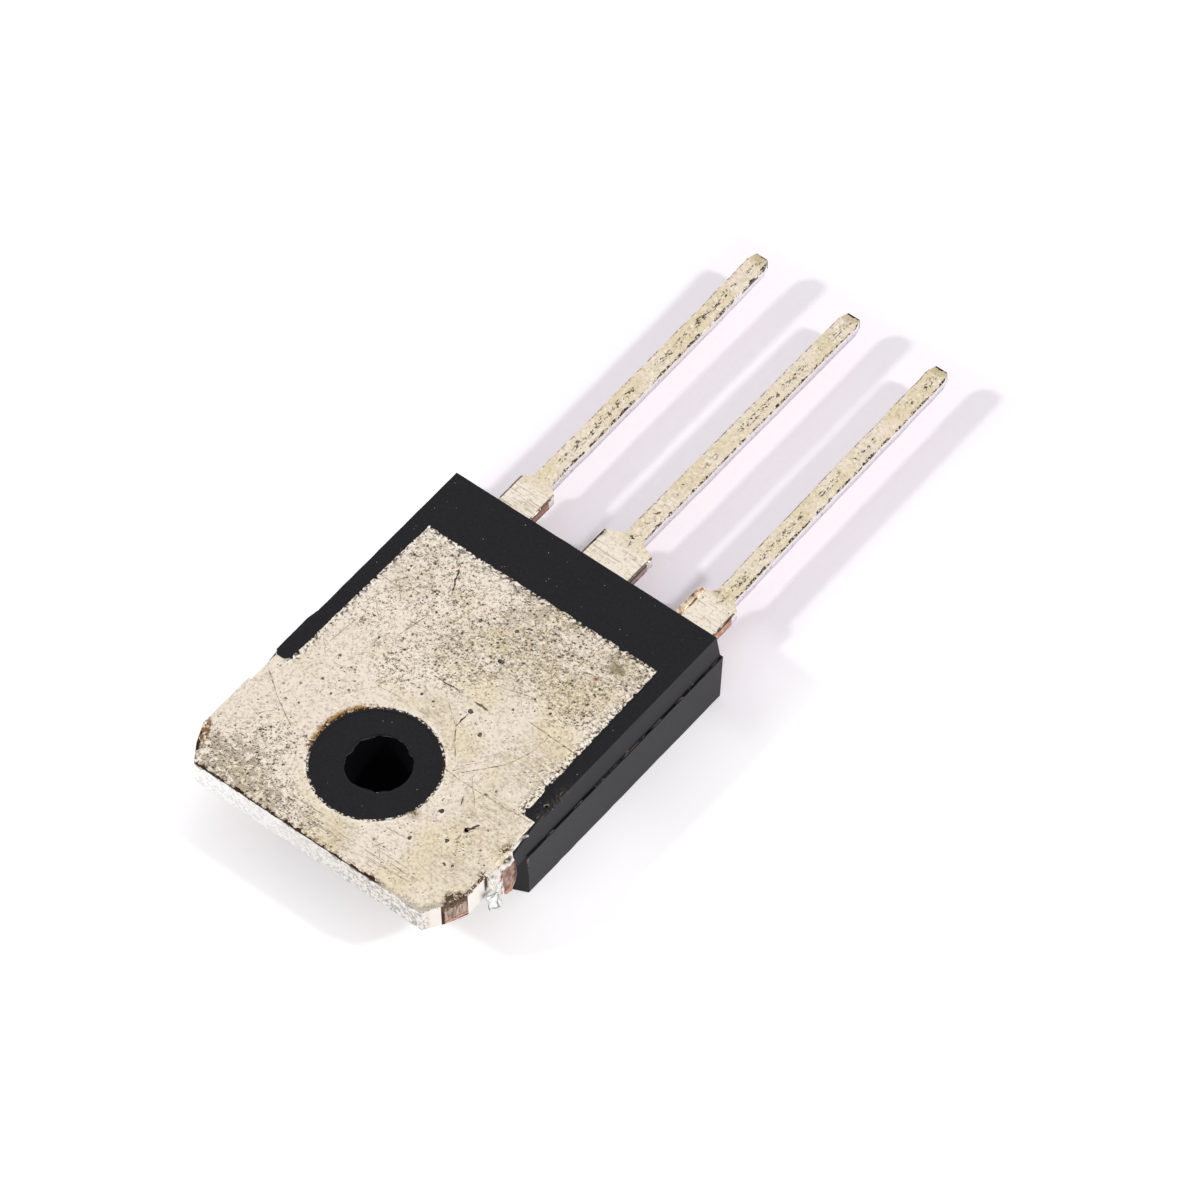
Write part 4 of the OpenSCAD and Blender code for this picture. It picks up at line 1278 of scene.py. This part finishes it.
# %% Lumps
def grid_block(low, high, cuts):
    """A box between two corners in mm, each face cut into a grid."""
    low, high = Vector(low), Vector(high)
    bm = bmesh.new()
    bmesh.ops.create_cube(bm, size=1.0)
    bmesh.ops.subdivide_edges(bm, edges=bm.edges[:], cuts=cuts, use_grid_fill=True)
    size = high - low
    for vert in bm.verts:
        vert.co = Vector((low.x + size.x * (vert.co.x + 0.5), low.y + size.y * (vert.co.y + 0.5),
                          low.z + size.z * (vert.co.z + 0.5))) * MM
    return bm


def crag(bm, size_mm, grain_mm, seed):
    """Breaks a surface up along its own normals."""
    bm.normal_update()
    for vert, normal in [(v, v.normal.copy()) for v in bm.verts]:
        vert.co += normal * size_mm * MM * ridges(vert.co / MM, grain_mm, seed)
    bm.normal_update()


print("lump tools ready")

# %% [markdown]
# ## Small things on the moulding
# Three traces say how the block was cast. Silica grains stand out of the epoxy as pale
# specks. A fin of flash is left on the left edge where the mould closed on the header's ear.
# The header's notches have round corners, so the epoxy's two rails end in round corners too.

# %% Specks, fin and notch corners
NOTED_SPECKS = (                        # x and y in mm
    (-6.42, 13.38), (-0.39, 14.12), (0.09, 12.75), (-0.47, 12.67), (-1.79, 14.75),
    (-1.41, 14.0), (-5.0, 14.37), (-2.6, 12.05), (-2.5, 12.15), (-2.38, 12.27),
)


def speck_finish():
    """Pale and matt: a grain shows against the black as a small light point."""
    made, tree, place = start_material("silica grain in the epoxy, pale")
    grain = add(tree, "ShaderNodeTexNoise", (place, 6.0, 2.0, 0.6))
    tone = lay(tree, "#615E5C", "#ADAAA5", grain)
    finish_material(tree, tone, 0.5)
    return made


def notch_corner(x, y, to_x, to_y, radius):
    """The tin that fills an inside corner of a rail, bounded by a round of this radius."""
    bm = bmesh.new()
    turn = [math.pi / 2 * i / 10 for i in range(11)]
    arc = [(x + to_x * radius * (1 - math.sin(t)), y + to_y * radius * (1 - math.cos(t))) for t in turn]
    ring = [bm.verts.new(Vector((px, py, film_z + 0.004)) * MM) for px, py in [(x, y)] + arc]
    bm.faces.new(ring)
    return thicken(bm, 0.012)


draw = random.Random(5)
specks = list(NOTED_SPECKS)
specks += [(draw.uniform(-7.4, 7.4), draw.uniform(12.2, 14.8)) for _ in range(16)]
specks += [(side * draw.uniform(7.1, 7.55), draw.uniform(2.2, 11.8))
           for side in (-1, 1) for _ in range(4)]
for _ in range(5):
    turn = draw.uniform(0, math.tau)
    specks.append((RING_X + 2.4 * math.cos(turn), RING_Y + 2.4 * math.sin(turn)))
grains = [blob(x, y, BACK_Z + MARK_T, draw.uniform(0.009, 0.024), x) for x, y in specks]
hand_over("silica_specks", joined(grains), (speck_finish(),))

bm = grid_block((-7.82, 2.07, 4.2), (-7.6, 4.9, 4.59), 13)
for vert in bm.verts:
    if vert.co.x < -7.7 * MM:
        vert.co.x += 0.15 * MM * max(0.0, vert.co.y / MM - 4.4)
crag(bm, 0.012, 0.4, 2.0)
hand_over("left_edge_fin", bm, (epoxy,))

corners = [notch_corner(-7.0, NOTCH_Y, -1, 1, 0.26), notch_corner(-7.73, NOTCH_Y, 1, 1, 0.2),
           notch_corner(7.0, NOTCH_Y, 1, 1, 0.13)]
hand_over("notch_corners", joined(corners), (plating,))

# painted light at the chipped corner: pale films for the highlights round the crater, and a black film
# for the shade in its hollow
bm = joined([blob(7.5, 2.85, BACK_Z + MARK_T, 0.13, 3.0), blob(7.32, 2.45, BACK_Z + MARK_T, 0.07, 5.0)])
hand_over("chip_highlight_rim", bm, (pale_flash,))
hand_over("chip_shade_spot", blob(7.52, 2.83, BACK_Z + 2 * MARK_T, 0.075, 3.0), (bore,))

# %% [markdown]
# ## Torn lip
# A tie bar once joined this header to the next one along the strip. It was torn off
# instead of cut, and left a craggy lip: drawn-out tin on one side, a grainy copper break
# on the other, and a scrap of foil that hangs below. A box is cut into a fine grid, pressed
# into the lip's outline, and broken up with ridged noise.

# %% Lip, curl and foil
LIP = (                                 # height, far edge and near edge in y, in mm
    (2.38, -0.85, -0.55), (2.6, -1.05, -0.38), (3.15, -1.45, -0.15), (3.9, -1.72, -0.18),
    (4.3, -1.8, -0.22), (4.66, -1.84, -0.28),
)


def lip_span(z):
    """The lip's far and near edge in y at this height."""
    for (z0, a0, b0), (z1, a1, b1) in zip(LIP, LIP[1:]):
        if z <= z1:
            t = max(0.0, (z - z0) / (z1 - z0))
            return a0 + (a1 - a0) * t, b0 + (b1 - b0) * t
    return LIP[-1][1:]


bm = grid_block((0, 0, LIP[0][0]), (1, 1, LIP[-1][0]), 15)
for vert in bm.verts:
    across, along, z = vert.co / MM
    far, near = lip_span(z)
    y = far + (near - far) * along
    lobe = math.exp(-((y + 1.5) / 0.32) ** 2)
    crest = math.exp(-((z - 4.62) / 0.14) ** 2)
    outer = 8.14 + 0.04 * lobe + 0.02 * crest - 0.12 * max(0.0, z - 4.3)
    groove = 0.1 * math.exp(-((y + 1.08) / 0.09) ** 2)
    vert.co = Vector((7.7 + (outer - groove - 7.7) * across, y, z)) * MM
crag(bm, 0.05, 0.45, 3.0)
for face in bm.faces:
    middle = face.calc_center_median() / MM
    copper = middle.y > -1.22 + 0.15 * noise.noise(middle / 0.3) and middle.z < 4.42 and middle.x > 7.9
    face.material_index = 1 if copper else 2 if middle.x < 7.92 and middle.z > 4.5 else 0
hand_over("torn_lip", bm, (torn_tin, torn_copper, plating))

bm = grid_block((7.74, -0.15, 4.52), (7.81, 1.15, 4.61), 11)
for vert in bm.verts:
    spot = vert.co / MM
    vert.co.x += 0.05 * MM * noise.noise(Vector((1, spot.y / 0.5, 2)))
    vert.co.z -= 0.12 * MM * (abs(spot.y - 0.5) / 0.65) ** 3
crag(bm, 0.014, 0.3, 8.0)
hand_over("ear_curl", bm, (torn_tin,))

FOIL = (                                # the scrap's four corners in mm
    Vector((8.0, -2.1, 3.5)), Vector((8.04, -2.0, 2.3)),
    Vector((8.06, -1.1, 1.75)), Vector((7.98, -1.25, 3.0)),
)
bm = bmesh.new()
bmesh.ops.create_grid(bm, x_segments=11, y_segments=11, size=0.5)
rim = bm.verts.layers.float.new("rim")
for vert in bm.verts:
    u, v = vert.co.x + 0.5, vert.co.y + 0.5
    vert[rim] = 2 * max(abs(u - 0.5), abs(v - 0.5))
    spot = FOIL[0].lerp(FOIL[3], u).lerp(FOIL[1].lerp(FOIL[2], u), v)
    curl = 0.1 * noise.noise(spot / 0.4)
    crumple = 0.14 * noise.noise(spot / 0.5), 0.14 * noise.noise(spot / 0.45 + curl * spot)
    vert.co = (spot + Vector((curl, *crumple))) * MM
hand_over("foil_scrap", thicken(bm, 0.02), (foil,))

# %% [markdown]
# ## Leads
# The leads are sheared strips. They wander a few hundredths from straight, and bend a
# little where a tool or a socket last held them. Each copy is cut across every half
# millimetre, and whole cross-sections are moved by slow noise, so the sides stay sharp.

# %% Leads
NECK_Y = 18.05
LEANS = {-1: -0.05, 0: 0.04, 1: -0.16}  # mm, sideways at the tip
LIFTS = {-1: 0.2, 0: -0.07, 1: 0.0}     # mm, up or down at the tip
LEAD_EDGE = 0.022


def dress_lead(bm, side):
    """Breaks a lead's edges, lets it wander, and stores each point's place across it."""
    break_edges(bm, free_edges(bm, others, lambda p: p.y > WALL_Y), LEAD_EDGE, 1)
    slice_at(bm, [15.4 + 0.45 * i for i in range(43)], (0, 1, 0))
    bm.normal_update()
    for face in bm.faces:
        middle = face.calc_center_median() / MM
        face.material_index = 1 if abs(face.normal.x) > 0.75 and WALL_Y < middle.y < NECK_Y - 0.5 else 0
    across = bm.verts.layers.float.new("across")
    for vert in bm.verts:
        x, y, z = vert.co / MM
        along = max(0.0, (y - NECK_Y) / (TIP_Y - NECK_Y))
        vert[across] = x - side * PITCH - LEANS[side] * along
        if y > NECK_Y - 1:
            sway = 0.025 * noise.noise(Vector((side * 7, y / 2.3, 0))) * min(1.0, (y - NECK_Y + 1) / 2)
            nick = 0.02 * noise.noise(Vector((x * 3, y / 0.5, z * 3 + side)))
            vert.co.x += (sway + nick) * MM
            wave = 0.012 * noise.noise(Vector((y / 1.7, side * 3, 1)))
            vert.co.z += (LIFTS[side] * along ** 4 + wave) * MM
    return bm


hand_over("middle_lead", dress_lead(part_of_frame(True), 0), (lead_plating, shear_copper),
          "cathode_frame")
for node, side in (("anode_lead_left", -1), ("anode_lead_right", 1)):
    hand_over(node.replace("anode_lead", "outer_lead"), dress_lead(solid_copy(node), side),
              (lead_plating, shear_copper), node)

bm = grid_block((4.26, 15.2, 2.0), (4.5, 18.1, 2.32), 13)
for vert in bm.verts:
    spot = vert.co / MM
    vert.co.x -= 0.05 * MM * math.sin(math.pi * (spot.y - 15.2) / 2.9)
    vert.co.z -= 0.12 * MM * max(0.0, (17.0 - spot.y) / 1.8)
crag(bm, 0.03, 0.3, 5.0)
hand_over("shoulder_burr", bm, (burr,))

# %% [markdown]
# ## Inside
# The chips, solder and wires are inside the epoxy. They keep their exact solids and get
# the finish of what they are, for anyone who cuts the model open.

# %% Hidden finishes
def hidden_finish(name, dark, light, metal, rough):
    """An even clean finish, for pieces that only a cut shows."""
    made, tree, place = start_material(name)
    grain = add(tree, "ShaderNodeTexNoise", (place, 4.0, 3.0, 0.6))
    tone = lay(tree, dark, light, grain)
    finish_material(tree, tone, rough, grain, 0.005, Metallic=metal)
    return made


silicon = hidden_finish("silicon, lapped", "#4B535E", "#646D79", 0.6, 0.3)
solder = hidden_finish("lead-tin solder, dull", "#8D8F92", "#B5B7B9", 1.0, 0.5)
wire = hidden_finish("aluminium wire, drawn", "#BFC1C3", "#D8DADB", 1.0, 0.35)
for node in INSIDE:
    finish = silicon if node.startswith("die") else solder if node.startswith("solder") else wire
    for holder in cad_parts[node].material_slots:
        holder.material = finish
print("inside:", ", ".join(INSIDE))

# %% [markdown]
# ## End
# The part is finished.
